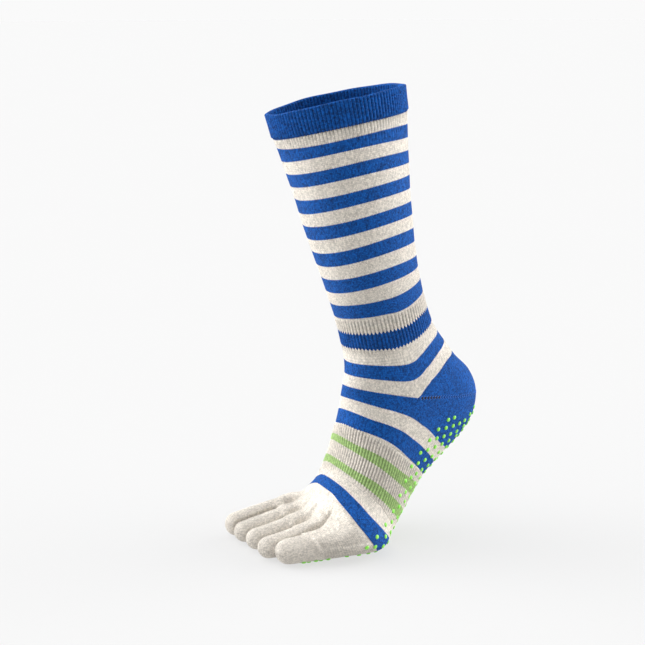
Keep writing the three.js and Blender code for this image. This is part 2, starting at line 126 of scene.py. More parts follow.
# Edges of the stripes below them, as (angle from the front, place) with the medial side
# positive. A row without negative angles is the same on both sides.
EDGES = {
    "low leg top": ((-150, 3.88), (-90, 3.93), (-30, 3.915), (1, 3.90), (25, 3.875), (55, 3.872),
                    (78, 3.878), (97, 3.845), (115, 3.80), (140, 3.80), (180, 3.84)),
    "low leg bottom": ((-150, 4.37), (-90, 4.44), (-30, 4.44), (0, 4.40), (20, 4.38), (45, 4.385),
                       (62, 4.40), (78, 4.44), (90, 4.425), (109, 4.35), (130, 4.31), (180, 4.34)),
    "ankle rib top": ((-150, 4.98), (-90, 5.02), (-30, 4.96), (0, 4.94), (22, 4.945), (40, 4.975),
                      (60, 5.01), (78, 5.038), (90, 5.015), (110, 4.93), (140, 4.93), (180, 4.95)),
    "ankle rib bottom": ((-150, 5.55), (-90, 5.62), (-30, 5.61), (0, 5.585), (20, 5.585), (36, 5.65),
                         (50, 5.70), (62, 5.755), (75, 5.74), (90, 5.685), (115, 5.565),
                         (145, 5.52), (180, 5.52)),
    "ankle top": ((0, 6.36), (20, 6.38), (40, 6.47), (51, 6.54), (64, 6.62), (72, 6.63), (81, 6.55),
                  (90, 6.38), (104, 6.17), (119, 6.06), (132, 6.03), (155, 6.00), (180, 5.99)),
    "ankle bottom": ((0, 7.57), (20, 7.62), (35, 7.71), (49, 7.85), (59, 7.96), (67, 7.98), (73, 7.87),
                     (79, 7.62), (88, 7.16), (97, 6.84), (110, 6.60), (125, 6.48), (150, 6.41),
                     (180, 6.39)),
    "heel top": ((75, 9.50), (77, 9.32), (81, 8.79), (88, 8.16), (94, 7.70), (104, 7.27), (115, 7.02),
                 (129, 6.91), (150, 6.86), (180, 6.85)),
    "heel bottom": ((0, 11.28), (20, 11.24), (40, 11.16), (60, 11.04), (75, 11.07), (90, 11.31),
                    (110, 11.69), (140, 11.83), (180, 11.90)),
    "arch top": ((0, 12.23), (20, 12.22), (40, 12.18), (60, 12.06), (75, 12.05), (90, 12.15),
                 (110, 12.31), (140, 12.43), (180, 12.50)),
    "arch bottom": ((0, 12.97), (20, 12.97), (39, 12.88), (53, 12.81), (66, 12.78), (81, 12.81),
                    (95, 12.88), (111, 12.93), (140, 12.96), (180, 12.97)),
    "green 1 top": ((-150, 13.34), (-110, 13.36), (-75, 13.40), (-45, 13.36), (-20, 13.42), (0, 13.49),
                    (25, 13.54), (45, 13.48), (60, 13.44), (90, 13.43), (110, 13.37), (150, 13.34)),
    "green 1 bottom": ((-150, 13.76), (-110, 13.77), (-75, 13.72), (-45, 13.60), (-20, 13.68),
                       (0, 13.77), (25, 13.83), (60, 13.83), (90, 13.82), (110, 13.78),
                       (150, 13.76)),
    "green 2 top": ((-150, 14.30), (-110, 14.29), (-75, 14.22), (-45, 14.15), (-20, 14.25), (0, 14.34),
                    (25, 14.42), (60, 14.36), (90, 14.34), (110, 14.32), (150, 14.30)),
    "green 2 bottom": ((-150, 14.73), (-110, 14.70), (-75, 14.58), (-45, 14.48), (-20, 14.52),
                       (0, 14.61), (25, 14.70), (60, 14.745), (90, 14.745), (110, 14.74),
                       (150, 14.73)),
    "ball top": ((-150, 15.48), (-110, 15.46), (-75, 15.30), (-45, 15.12), (-24, 15.07), (1, 15.17),
                 (20, 15.27), (43, 15.44), (67, 15.58), (80, 15.59), (102, 15.55), (150, 15.49)),
    "ball bottom": ((-150, 16.36), (-110, 16.20), (-75, 15.86), (-50, 15.58), (-32, 15.50),
                    (-16, 15.60), (0, 15.72), (12, 15.80), (22, 15.96), (32, 16.09), (45, 16.22),
                    (58, 16.33), (75, 16.39), (90, 16.40), (114, 16.37), (150, 16.37)),
}

# Toes: ends of the centre line and crotch, in shares of the foot reach and ball width, the
# width in millimetres, and the shares of width and of toe height at root, knuckle and tip.
TOE_COLUMNS = (
    "root_x", "root_y", "tip_x", "tip_y", "web", "width",
    "root_wide", "mid_wide", "tip_wide", "root_tall", "mid_tall", "tip_tall",
)
TOES = {
    "big": (-0.067, 0.222, 0.187, 0.057, 0.046, 25, 1.14, 1.04, 0.90, 1.50, 1.12, 0.93),
    "second": (-0.067, 0.020, 0.214, -0.127, 0.031, 21, 1.00, 1.00, 0.88, 1.50, 1.10, 0.80),
    "third": (-0.076, -0.190, 0.198, -0.318, 0.002, 21, 1.00, 1.00, 0.88, 1.48, 1.10, 0.80),
    "fourth": (-0.095, -0.365, 0.187, -0.506, -0.036, 21, 0.98, 1.00, 0.88, 1.45, 1.12, 0.80),
    "little": (-0.119, -0.508, 0.175, -0.659, -0.050, 19, 1.00, 1.06, 1.00, 1.40, 1.22, 0.92),
}

# Grip dots on the sole. The places of the outermost dots from the heel to the ball, how far
# round from the front the patch reaches at each place, and where it begins on the heel.
GRIP_PLACES = (8.0, 8.64, 9.27, 9.90, 10.56, 11.21, 11.86, 12.47, 13.05, 13.58, 14.11, 14.70,
               15.34, 16.03, 16.72, 17.4, 18.1, 18.8)
GRIP_SIDE_PLACES = (10.56, 11.2, 12.5, 13.5, 14.1, 14.7, 15.34, 16.03, 16.45, 16.8, 17.2, 17.6)
GRIP_SIDE_ANGLES = (107, 103.5, 103, 101, 99, 97.5, 92, 89, 90.5, 97, 116, 135)
GRIP_TOP_ANGLES = (90, 108, 115, 124, 133, 144, 160, 180)
GRIP_TOP_PLACES = (10.5, 10.42, 10.24, 10.06, 9.86, 9.64, 9.36, 9.16)
GRIP_COLUMNS = 20
# How far each column inward is set back, in rows, for each row from the heel down.
GRIP_BACK_ROWS = (4, 5, 6, 7, 9, 11)
GRIP_BACK = (0.30, 0.31, 0.33, 0.38, 0.42, 0.50)
# The GRIP_RIM outer columns of each side follow that table, and those further in are half a row
# apart. No dot of the patch lies beyond GRIP_END.
GRIP_RIM = 4
GRIP_END = 17.55

# Place of the last section, which is at the webs of the toes.
LAST_PLACE = len(SECTIONS) - 1
# The toes' skin starts at SKIN_START, inside the arch band. FOOT_START is where the search for a
# point's nearest place begins, and PLACE_LENGTH about how long a place is there.
SKIN_START = 14.9
FOOT_START = 14.6
PLACE_LENGTH = 15 * MM
DOME_REACH = 9 * MM
# Mesh rows inside each tube, and the steps in which a row of the knit is measured.
INNER_ROWS = 11
DENSE_STEPS = 1440
# Millimetres beyond which the depth inside a stripe isn't counted.
DEEPEST = 8.0
# How much painted shade darkens the knit at the bottom of a rib furrow and along the heel's gore line, and
# how wide its stitches are.
SHADOW_DEPTH = 0.55
STITCH_WIDTH = 1.12 * MM
TOE_STITCH = 1.15 * MM
# A soft flat on the outer top of the ball of the foot.
FLAT_PLACE, FLAT_ANGLE, FLAT_REACH, FLAT_DEPTH = 16.1, -30, 14 * MM, 3.8 * MM


# Properties

def length(name, default, description):
    return FloatProperty(name=name, default=default, description=description, unit="LENGTH")


def tint(name, default, description):
    return FloatVectorProperty(name=name, default=default, description=description, subtype="COLOR")


def count(name, default, description):
    return IntProperty(name=name, default=default, description=description, min=24)


class SockSizes(bpy.types.PropertyGroup):
    """Lengths of the sock that its pieces follow."""

    stand_height: length("Standing height", 0.369, "Floor to the middle of the leg opening")
    foot_reach: length("Foot reach", 0.210, "Length that the fore-and-aft shares follow")
    cuff_width: length("Cuff width", 0.111, "Across the leg opening")
    ankle_width: length("Ankle width", 0.069, "Across the ankle and heel pocket")
    ball_width: length("Ball width", 0.110, "Across the ball of the foot")
    toe_height: length("Toe height", 0.022, "Height that the toe ovals follow")
    fabric_wall: length("Fabric thickness", 0.0016, "Single knitted layer")
    cuff_wall: length("Cuff thickness", 0.0024, "Folded double layer")
    cuff_height: length("Cuff height", 0.0194, "Opening to the first cream row")
    cuff_rise: length("Cuff rise", 0.0046, "How far the cuff's rows climb on the medial side")
    dot_radius: length("Grip dot radius", 0.00185, "Radius of one rubber dot")
    dot_height: length("Grip dot height", 0.0010, "How far a dot stands off the knit")
    dot_gap: length("Toe dot spacing", 0.0058, "Spacing of the dots under the toes")


class SockKnit(bpy.types.PropertyGroup):
    """Counts and depths of the knitting."""

    wales: count("Wales", 232, "Stitches round the leg")
    columns: count("Columns", 696, "Mesh columns round the sock")
    cuff_ribs: count("Cuff ribs", 116, "Ribs round the cuff")
    ankle_ribs: count("Ankle ribs", 76, "Ribs round the ankle band")
    arch_ribs: count("Arch ribs", 92, "Ribs round the arch band")
    course: length("Course height", 0.00112, "Height of one row of stitches")
    cuff_depth: length("Cuff rib depth", 0.00095, "Ridge to furrow")
    band_depth: length("Band rib depth", 0.00085, "Ridge to furrow")


class SockColours(bpy.types.PropertyGroup):
    """Colours of the yarns and the grip rubber."""

    blue: tint("Blue yarn", (0.0045, 0.098, 0.42), "Cuff, stripes and heel")
    cream: tint("Cream yarn", (0.885, 0.82, 0.73), "Ground of the sock")
    green: tint("Green yarn", (0.47, 0.70, 0.26), "Two stripes of the arch")
    rubber: tint("Grip rubber", (0.27, 0.80, 0.08), "Dots of the sole")


def sizes():
    return bpy.context.scene.toe_sock_sizes


def knit():
    return bpy.context.scene.toe_sock_knit


def colours():
    return bpy.context.scene.toe_sock_colours


# Shape of the sock

def section_table():
    """The section table in metres and radians, one row per section."""
    s = sizes()
    width = {"cuff": s.cuff_width, "ankle": s.ankle_width, "ball": s.ball_width}
    scale = {"x": s.foot_reach, "y": s.ball_width, "z": s.stand_height,
             "tilt": math.pi / 180, "lean": math.pi / 180}
    out = []
    for follows, *values in SECTIONS:
        scale["depth"] = scale["half"] = width[follows]
        out.append([value * scale.get(column, 1) for column, value in zip(SECTION_COLUMNS, values)])
    return np.array(out)


def smooth_rows(table, place):
    """Smooth curve through the rows of a table, at an array of places."""
    last = len(table) - 1
    i = np.clip(np.floor(place).astype(int), 0, last - 1)
    t = (np.minimum(place, last) - i)[..., None]
    b, c = table[i], table[i + 1]
    a = np.where((i > 0)[..., None], table[np.maximum(i - 1, 0)], 2 * b - c)
    d = np.where((i + 2 <= last)[..., None], table[np.minimum(i + 2, last)], 2 * c - b)
    cube = 3 * b - a - 3 * c + d
    return 0.5 * (2 * b + (c - a) * t + (2 * a - 5 * b + 4 * c - d) * t * t + cube * t ** 3)


def body_point(place, angle, inset=0.0):
    """Points at places along the section table and angles round it, 0 being the front."""
    place, angle = np.broadcast_arrays(np.asarray(place, float), np.asarray(angle, float))
    table = section_table()
    row = dict(zip(SECTION_COLUMNS, np.moveaxis(smooth_rows(table, place), -1, 0)))
    c, s = np.cos(angle), np.sin(angle)
    power = 2 / np.where(c > 0, row["front"], row["back"])
    along = np.sign(c) * np.abs(c) ** power
    across = np.sign(s) * np.abs(s) ** power
    reach = (row["depth"] * np.where(c > 0, 1 - row["middle"], row["middle"]) - inset) * along
    side = (row["half"] - inset) * across
    forward_x, forward_z = np.cos(row["tilt"]), np.sin(row["tilt"])
    lean = np.sin(row["lean"])
    x = row["x"] + forward_x * reach + side * (row["sweep"] + lean * forward_z)
    y = row["y"] + side * np.cos(row["lean"])
    z = row["z"] + forward_z * reach - side * lean * forward_x
    return np.stack([x, y, z], -1) - table[0, :3]


def body_steps(place, angle):
    """How far a point moves for one place and for one radian, as two arrays of vectors."""
    e = 0.01
    place = np.minimum(place, LAST_PLACE - 2 * e)
    down = (body_point(place + e, angle) - body_point(place - e, angle)) / (2 * e)
    round_ = (body_point(place, angle + e) - body_point(place, angle - e)) / (2 * e)
    return down, round_


def unit(v):
    return v / np.maximum(np.linalg.norm(v, axis=-1, keepdims=True), 1e-12)


def body_out(place, angle):
    return unit(np.cross(*body_steps(place, angle)))


def run_along(line):
    """Distance from the first point of a line to each of its points, along the line."""
    return np.concatenate([[0], np.cumsum(np.linalg.norm(np.diff(line, axis=0), axis=1))])


def smoothstep(x):
    x = np.clip(x, 0, 1)
    return x * x * (3 - 2 * x)


def turned(angle):
    """Degrees from the front, the same on both sides."""
    return np.degrees(np.abs(np.arctan2(np.sin(angle), np.cos(angle))))


def wander(p):
    """A slow, slight waver of the fabric, and a flat on the outer top of the ball."""
    x, y, z = np.moveaxis(p / MM, -1, 0)
    waver = (np.sin(x * 0.11 + z * 0.07 + 1.3) + np.sin(y * 0.13 - z * 0.09 + 0.4)
             + np.sin(z * 0.16 + x * 0.05 - y * 0.06 + 2.1) + np.sin(z * 0.031 + y * 0.04))
    flat = body_point(FLAT_PLACE, math.radians(FLAT_ANGLE))
    near = np.exp(-(((p - flat) / FLAT_REACH) ** 2).sum(-1))
    return waver * 0.09 * MM - near * FLAT_DEPTH


def row_place(name):
    """Function from angle to place for a row between two zones."""
    row = dict(zip(ROW_COLUMNS, ROWS[name]))

    def at(angle):
        far = turned(angle)
        share = (1 - np.cos(np.pi * np.minimum(far / CORNER, 1))) / 2
        before = row["front"] + (row["side"] - row["front"]) * share
        u = np.clip((far - CORNER) / (180 - CORNER), 0, 1)
        beyond = row["side"] + (row["back"] - row["side"]) * (1 - (1 - u) ** row["turn"])
        return np.where(far <= CORNER, before, beyond)
    return at


def ring_edge(mean, front, rise, twist):
    """Function from angle to place for a stripe edge of the leg, highest on the medial side."""
    def at(angle):
        raised = 0.3 * np.sin(angle) + 0.7 * np.sin(angle) ** 2
        return mean + front * np.cos(angle) - rise * raised + twist * np.sin(2 * angle)
    return at


def foot_edge(name):
    """Function from angle to place for a stripe edge, smooth through its table row."""
    knots = np.array(EDGES[name], float)
    if knots[:, 0].min() >= 0:
        mirrored = knots[(knots[:, 0] > 0) & (knots[:, 0] < 180)][::-1] * (-1, 1)
        knots = np.concatenate([mirrored, knots])
    x, y = knots.T
    x = np.concatenate([x - 360, x, x + 360])
    y = np.tile(y, 3)
    slope = np.gradient(y, x)

    def at(angle):
        a = np.degrees(np.arctan2(np.sin(angle), np.cos(angle)))
        i = np.clip(np.searchsorted(x, a, side="right") - 1, 0, len(x) - 2)
        h = x[i + 1] - x[i]
        t = (a - x[i]) / h
        return ((2 * t ** 3 - 3 * t ** 2 + 1) * y[i] + (t ** 3 - 2 * t ** 2 + t) * h * slope[i]
                + (3 * t ** 2 - 2 * t ** 3) * y[i + 1] + (t ** 3 - t ** 2) * h * slope[i + 1])
    return at


def top_step():
    """Length of one place at the top of the leg."""
    table = section_table()
    return table[0, 2] - table[1, 2]


def rim(angle):
    """Place of the leg opening's edge, which climbs on the medial side and at the back."""
    once = 0.39 * np.sin(angle) - 0.18 * np.cos(angle)
    twice = 0.17 * np.sin(2 * angle) - 0.1 * np.cos(2 * angle)
    return 0.012 - sizes().cuff_rise * (0.5 + once + twice) / top_step()


def cuff_end(angle):
    return rim(angle) + sizes().cuff_height / top_step()


def band_top(angle):
    """Row where the ribs of the ankle begin, just under the blue stripe above them."""
    return foot_edge("low leg bottom")(angle) + 0.03


def pocket_top(angle):
    """Row where the ankle ends: level before the corners, steep and then flat behind them."""
    far = turned(angle)
    behind = foot_edge("heel top")(np.radians(np.maximum(far, CORNER)))
    return np.where(far < CORNER, row_place("pocket_start")(angle), behind)


def gore_place(angle):
    return np.interp(turned(angle), GORE_ANGLES, GORE_PLACES)


def stripe(name):
    return foot_edge(f"{name} top"), foot_edge(f"{name} bottom")


def blue_stripes():
    """Top and bottom edge of every blue zone, as functions from angle to place."""
    out = [(lambda a: np.full_like(a, -9.0), lambda a: cuff_end(a) + 0.012)]
    out += [(ring_edge(*top), ring_edge(*bottom)) for top, bottom in RINGS]
    out += [stripe(name) for name in ("low leg", "ankle rib", "ankle", "arch", "ball")]
    return out + [(pocket_top, foot_edge("heel bottom"))]


def stripe_depth(stripes, place, angle):
    """How far inside a stripe each point is, in millimetres, negative outside."""
    down, round_ = (np.linalg.norm(step, axis=-1) / MM for step in body_steps(place, angle))
    best = np.full(place.shape, -DEEPEST)
    e = 0.01
    for edges in stripes:
        sides = []
        for edge, sign in zip(edges, (1, -1)):
            slope = (edge(angle + e) - edge(angle - e)) / (2 * e) * down / round_
            sides.append(sign * (place - edge(angle)) * down / np.sqrt(1 + slope ** 2))
        best = np.maximum(best, np.minimum(*sides))
    return np.clip(best, -DEEPEST, DEEPEST)


# Meshes

def link_object(name, mesh):
    obj = bpy.data.objects.new(name, mesh)
    bpy.context.scene.collection.objects.link(obj)
    return obj


def from_bmesh(name, b):
    mesh = bpy.data.meshes.new(name)
    b.to_mesh(mesh)
    b.free()
    return link_object(name, mesh)


def edit_mesh(obj, change):
    """Changes an object's mesh by a function that gets its bmesh."""
    b = bmesh.new()
    b.from_mesh(obj.data)
    change(b)
    b.to_mesh(obj.data)
    b.free()
    obj.data.update()


def write(obj, name, values, kind="FLOAT"):
    layer = obj.data.attributes.new(name, kind, "POINT")
    field = "vector" if kind == "FLOAT_VECTOR" else "value"
    layer.data.foreach_set(field, np.asarray(values, np.float32).ravel())


def read(items, field, width=1, kind=np.int32):
    out = np.zeros(len(items) * width, kind)
    items.foreach_get(field, out)
    return out


def read_points(obj, field="co"):
    return read(obj.data.vertices, field, 3, np.float32).reshape(-1, 3).astype(float)


def write_points(obj, points):
    obj.data.vertices.foreach_set("co", points.astype(np.float32).ravel())
    obj.data.update()


def write_stitches(obj, uv):
    layer = obj.data.uv_layers.get("knit") or obj.data.uv_layers.new(name="knit")
    layer.data.foreach_set("uv", np.asarray(uv, np.float32).ravel())


def smooth_faces(obj):
    obj.data.polygons.foreach_set("use_smooth", np.ones(len(obj.data.polygons), bool))
    obj.data.update()


def plain(obj):
    """The object with its modifiers worked into a plain mesh."""
    graph = bpy.context.evaluated_depsgraph_get()
    mesh = bpy.data.meshes.new_from_object(obj.evaluated_get(graph), preserve_all_data_layers=True,
                                           depsgraph=graph)
    obj.modifiers.clear()
    old = obj.data
    obj.data = mesh
    bpy.data.meshes.remove(old)
    mesh.name = obj.name
    return obj


def between(first, last, share):
    return lambda angle: first(angle) + (last(angle) - first(angle)) * share


class Cloth:
    """Rows of points on the sock's surface, outside then inside, that close into a shell."""

    def __init__(self, columns, start=-math.pi, end=math.pi):
        self.columns = columns
        self.dense = np.linspace(start, end, DENSE_STEPS + 1)
        self.rows = []

    def add(self, place_of, inset, course, relief=0.0, outer=True):
        """A row at the places that place_of gives, with its points spread evenly along it."""
        line = run_along(body_point(place_of(self.dense), self.dense, inset))
        angle = np.interp(np.linspace(0, line[-1], self.columns + 1), line, self.dense)
        place = place_of(angle)
        base = body_point(place, angle, inset)
        out = body_out(place, angle)
        self.rows.append({
            "point": base + out * wander(base)[:, None], "out": out if outer else -out,
            "place": place, "angle": angle, "course": np.full_like(angle, course),
            "relief": np.full_like(angle, relief),
        })

    def mesh(self, name, wales, closed=True):
        n = self.columns
        width = n if closed else n + 1
        field = {key: np.stack([row[key][:width] for row in self.rows]) for key in self.rows[0]}
        points = field["point"].reshape(-1, 3)
        i, j = np.meshgrid(np.arange(len(self.rows)), np.arange(n), indexing="ij")
        i2, j2 = (i + 1) % len(self.rows), (j + 1) % width
        faces = np.stack([i * width + j, i2 * width + j, i2 * width + j2, i * width + j2], -1)
        faces = faces.reshape(-1, 4)
        course = field["course"][:, 0]
        u = np.stack([j, j, j + 1, j + 1], -1) * (wales / n)
        v = np.stack([course[i], course[i2], course[i2], course[i]], -1)
        uv = np.stack([u, v], -1).reshape(-1, 4, 2)
        a, b, c = (points[faces[:, k]] for k in range(3))
        if np.einsum("ij,ij->i", a, np.cross(b, c)).sum() < 0:
            faces, uv = faces[:, ::-1], uv[:, ::-1]
        mesh = bpy.data.meshes.new(name)
        mesh.vertices.add(len(points))
        mesh.loops.add(faces.size)
        mesh.loops.foreach_set("vertex_index", faces.astype(np.int32).ravel())
        mesh.polygons.add(len(faces))
        mesh.polygons.foreach_set("loop_start", np.arange(0, faces.size, 4, dtype=np.int32))
        mesh.vertices.foreach_set("co", points.astype(np.float32).ravel())
        mesh.update(calc_edges=True)
        obj = link_object(name, mesh)
        smooth_faces(obj)
        write_stitches(obj, uv)
        write(obj, "blue", stripe_depth(blue_stripes(), field["place"], field["angle"]))
        write(obj, "green", stripe_depth([stripe("green 1"), stripe("green 2")], field["place"],
                                         field["angle"]))
        write(obj, "relief", field["relief"])
        write(obj, "outward", field["out"], "FLOAT_VECTOR")
        write(obj, "turn", np.broadcast_to(np.arange(width) / n, field["place"].shape))
        return obj


# Nodes

class Nodes:
    """A geometry or shader node tree under construction."""

    def __init__(self, tree):
        self.tree = tree

    def feed(self, socket, value):
        if isinstance(value, bpy.types.NodeSocket):
            self.tree.links.new(value, socket)
        else:
            socket.default_value = value

    def node(self, kind, feeds=None, **settings):
        """A new node with its settings. feeds gives its inputs by name or number."""
        node = self.tree.nodes.new(kind)
        for key, value in settings.items():
            setattr(node, key, value)
        for key, value in (feeds or {}).items():
            self.feed(node.inputs[key], value)
        return node

    def math(self, operation, *values, clamp=False):
        feeds = dict(enumerate(values))
        return self.node("ShaderNodeMath", feeds, operation=operation, use_clamp=clamp).outputs[0]

    def mix(self, share, a, b):
        return self.node("ShaderNodeMix", {0: share, 6: a, 7: b}, data_type="RGBA").outputs[2]

    def scaled(self, vector, factor):
        feeds = {0: vector, "Scale": factor}
        return self.node("ShaderNodeVectorMath", feeds, operation="SCALE").outputs[0]

    def noise(self, vector, scale, detail=2.0, roughness=0.5):
        feeds = {"Vector": vector, "Scale": scale, "Detail": detail, "Roughness": roughness}
        return self.node("ShaderNodeTexNoise", feeds).outputs[0]

    def named(self, name, kind="FLOAT"):
        """A value kept on the mesh, in a geometry tree."""
        feeds = {"Name": name}
        return self.node("GeometryNodeInputNamedAttribute", feeds, data_type=kind).outputs["Attribute"]

    def kept(self, name):
        """A value kept on the mesh, in a material."""
        return self.node("ShaderNodeAttribute", attribute_name=name).outputs["Fac"]

    def place(self):
        return self.node("ShaderNodeTexCoord").outputs["Object"]

    def group(self, tree, **values):
        """The outputs of a shader group. A _ stands for the space in an input's name."""
        feeds = {label.replace("_", " "): value for label, value in values.items()}
        return self.node("ShaderNodeGroup", feeds, node_tree=tree).outputs


def node_group(kind, name, inputs, outputs, build):
    """A node group, built once. build gets the nodes and the input sockets by name."""
    if name in bpy.data.node_groups:
        return bpy.data.node_groups[name]
    tree = bpy.data.node_groups.new(name, f"{kind}NodeTree")
    for label, (socket, *value) in inputs.items():
        made = tree.interface.new_socket(label, in_out="INPUT", socket_type=f"NodeSocket{socket}")
        if value:
            made.default_value = value[0]
    for label, socket in outputs.items():
        tree.interface.new_socket(label, in_out="OUTPUT", socket_type=f"NodeSocket{socket}")
    nodes = Nodes(tree)
    nodes.node("NodeGroupOutput", build(nodes, nodes.node("NodeGroupInput").outputs))
    return tree


def paint_geometry(t, geometry, material):
    feeds = {"Geometry": geometry.outputs[0], "Material": material}
    return {"Geometry": t.node("GeometryNodeSetMaterial", feeds).outputs[0]}


def build_ribs(t, given):
    """Raises rounded ribs along the rows' outward direction."""
    phase = t.math("MULTIPLY", t.named("turn"), given["Ribs"])
    away = t.math("ABSOLUTE", t.math("SUBTRACT", t.math("MULTIPLY", t.math("FRACT", phase), 2.0), 1.0))
    profile = t.math("SUBTRACT", 0.62, t.math("POWER", away, 2.2))
    height = t.math("MULTIPLY", t.math("MULTIPLY", profile, given["Depth"]), t.named("relief"))
    offset = t.scaled(t.named("outward", "FLOAT_VECTOR"), height)
    moved = t.node("GeometryNodeSetPosition", {"Geometry": given["Geometry"], "Offset": offset})
    return paint_geometry(t, moved, given["Material"])


def build_scatter(t, given):
    """Puts one small shape on every point, turned to the point's outward direction."""
    points = t.node("GeometryNodeMeshToPoints", {0: given["Geometry"]})
    shape = t.node("GeometryNodeObjectInfo", {"Object": given["Shape"]})
    up = t.node("FunctionNodeAlignRotationToVector", {"Vector": t.named("outward", "FLOAT_VECTOR")},
                axis="Z")
    ahead = {"Rotation": up.outputs[0], "Vector": t.named("ahead", "FLOAT_VECTOR")}
    ahead = t.node("FunctionNodeAlignRotationToVector", ahead, axis="X", pivot_axis="Z")
    placed = t.node("GeometryNodeInstanceOnPoints", {
        "Points": points.outputs[0], "Instance": shape.outputs["Geometry"],
        "Rotation": ahead.outputs[0], "Scale": t.named("size")})
    real = t.node("GeometryNodeRealizeInstances", {0: placed.outputs[0]})
    return paint_geometry(t, real, given["Material"])


def grow(obj, name, build, inputs, **values):
    """Runs a geometry node group on an object and keeps the result as a plain mesh."""
    inputs = {"Geometry": ("Geometry",), **inputs, "Material": ("Material",)}
    tree = node_group("Geometry", name, inputs, {"Geometry": "Geometry"}, build)
    modifier = obj.modifiers.new(name, "NODES")
    modifier.node_group = tree
    for socket in tree.interface.items_tree:
        if socket.in_out == "INPUT" and socket.name in values:
            modifier[socket.identifier] = values[socket.name]
    return plain(obj)


def grow_ribs(obj, ribs, depth, material):
    inputs = {"Ribs": ("Int", 116), "Depth": ("Float", 0.0009)}
    grow(obj, "raised ribs", build_ribs, inputs, Ribs=ribs, Depth=depth, Material=material)


def scatter(name, points, outward, ahead, size, shape, material):
    """One piece made of a small shape at every point. size holds a factor for each."""
    obj = link_object(name, bpy.data.meshes.new(name))
    obj.data.from_pydata([tuple(p) for p in points], [], [])
    write(obj, "outward", outward, "FLOAT_VECTOR")
    write(obj, "ahead", ahead, "FLOAT_VECTOR")
    write(obj, "size", size)
    grow(obj, "placed shapes", build_scatter, {"Shape": ("Object",)}, Shape=shape, Material=material)
    bpy.data.objects.remove(shape)
    smooth_faces(obj)
    return obj


# Materials

def build_stitch(s, given):
    """Plain knitting: two slanted strands in each wale that meet in a V."""
    calc = s.math
    u, v, _ = s.node("ShaderNodeSeparateXYZ", {0: given["Stitches"]}).outputs
    away = calc("ABSOLUTE", calc("SUBTRACT", calc("FRACT", u), 0.5))
    climb = calc("MULTIPLY_ADD", away, 1.5, v)

    def arch(value, factor):
        """1 in the middle of a strand, falling to 0 at its sides."""
        off = calc("SUBTRACT", calc("MULTIPLY", value, factor), 1.0)
        return calc("SUBTRACT", 1.0, calc("MULTIPLY", off, off))

    strand = arch(calc("FRACT", climb), 2.0)
    leg = arch(away, 4.0)
    gap = calc("POWER", calc("MULTIPLY", away, 2.0), 3.0)
    height = calc("MULTIPLY", calc("POWER", leg, 0.6), calc("POWER", strand, 0.7))
    height = calc("MULTIPLY", height, calc("MULTIPLY_ADD", gap, -0.75, 1.0))
    cell = s.node("ShaderNodeCombineXYZ", {0: calc("FLOOR", u), 1: calc("FLOOR", climb)}).outputs[0]
    fleck = s.node("ShaderNodeTexWhiteNoise", {"Vector": cell}, noise_dimensions="3D").outputs["Value"]
    # Furrow is the share of painted shade that the yarn lays in the gaps between strands and wales.
    return {"Height": height, "Furrow": calc("SUBTRACT", 1.0, height),
            "Fleck": calc("SUBTRACT", fleck, 0.5)}


def build_furrow(s, given):
    """How deep in the furrow between two ribs a point lies, from its stitch coordinates, which the yarn
    turns into painted shade.
    """
    u = s.node("ShaderNodeSeparateXYZ", {0: given["Stitches"]}).outputs[0]
    turn = s.math("FRACT", s.math("DIVIDE", u, given["Wales Per Rib"]))
    away = s.math("ABSOLUTE", s.math("MULTIPLY_ADD", turn, 2.0, -1.0))
    return {"Depth": s.math("MULTIPLY", s.math("POWER", away, 2.6), given["Relief"])}


def build_edge(s, given):
    """Turns a depth inside a stripe into a mask whose edge steps from stitch to stitch."""
    u = s.node("ShaderNodeSeparateXYZ", {0: given["Stitches"]}).outputs[0]
    u = s.math("MULTIPLY", u, given["Teeth"])
    saw = s.math("ABSOLUTE", s.math("SUBTRACT", s.math("FRACT", u), 0.5))
    saw = s.math("SUBTRACT", s.math("MULTIPLY", saw, 4.0), 1.0)
    edge = s.math("ADD", given["Depth"], s.math("MULTIPLY", saw, given["Tooth Height"]))
    return {"Mask": s.math("MULTIPLY_ADD", edge, 6.0, 0.5, clamp=True)}


def build_yarn(s, given):
    """Mottled, slightly worn yarn colour, with painted shade in the gaps between the stitches and, where
    Shadow is given, in rib furrows and along the heel's gore line.
    """
    place = s.place()
    mottle = s.noise(place, 780.0, 3.0, 0.7)
    slow = s.noise(place, 55.0)
    tone = s.math("MULTIPLY_ADD", s.math("SUBTRACT", mottle, 0.5), given["Mottle"], 1.06)
    tone = s.math("MULTIPLY_ADD", s.math("SUBTRACT", slow, 0.5), 0.12, tone)
    tone = s.math("MULTIPLY_ADD", given["Fleck"], s.math("MULTIPLY", given["Mottle"], 0.36), tone)
    # Painted shade in the gaps between the strands and wales of the stitches.
    tone = s.math("SUBTRACT", tone, s.math("MULTIPLY", given["Furrow"], given["Shade"]))
    # Painted shade where Shadow is given: rib furrows and the heel's gore line.
    tone = s.math("MULTIPLY", tone, s.math("MULTIPLY_ADD", given["Shadow"], -SHADOW_DEPTH, 1.0))
    return {"Colour": s.scaled(given["Colour"], tone),
            "Roughness": s.math("MULTIPLY_ADD", mottle, 0.16, 0.76),
            "Fuzz": s.math("MULTIPLY", s.noise(place, 1900.0, 2.0, 0.7), 0.5)}


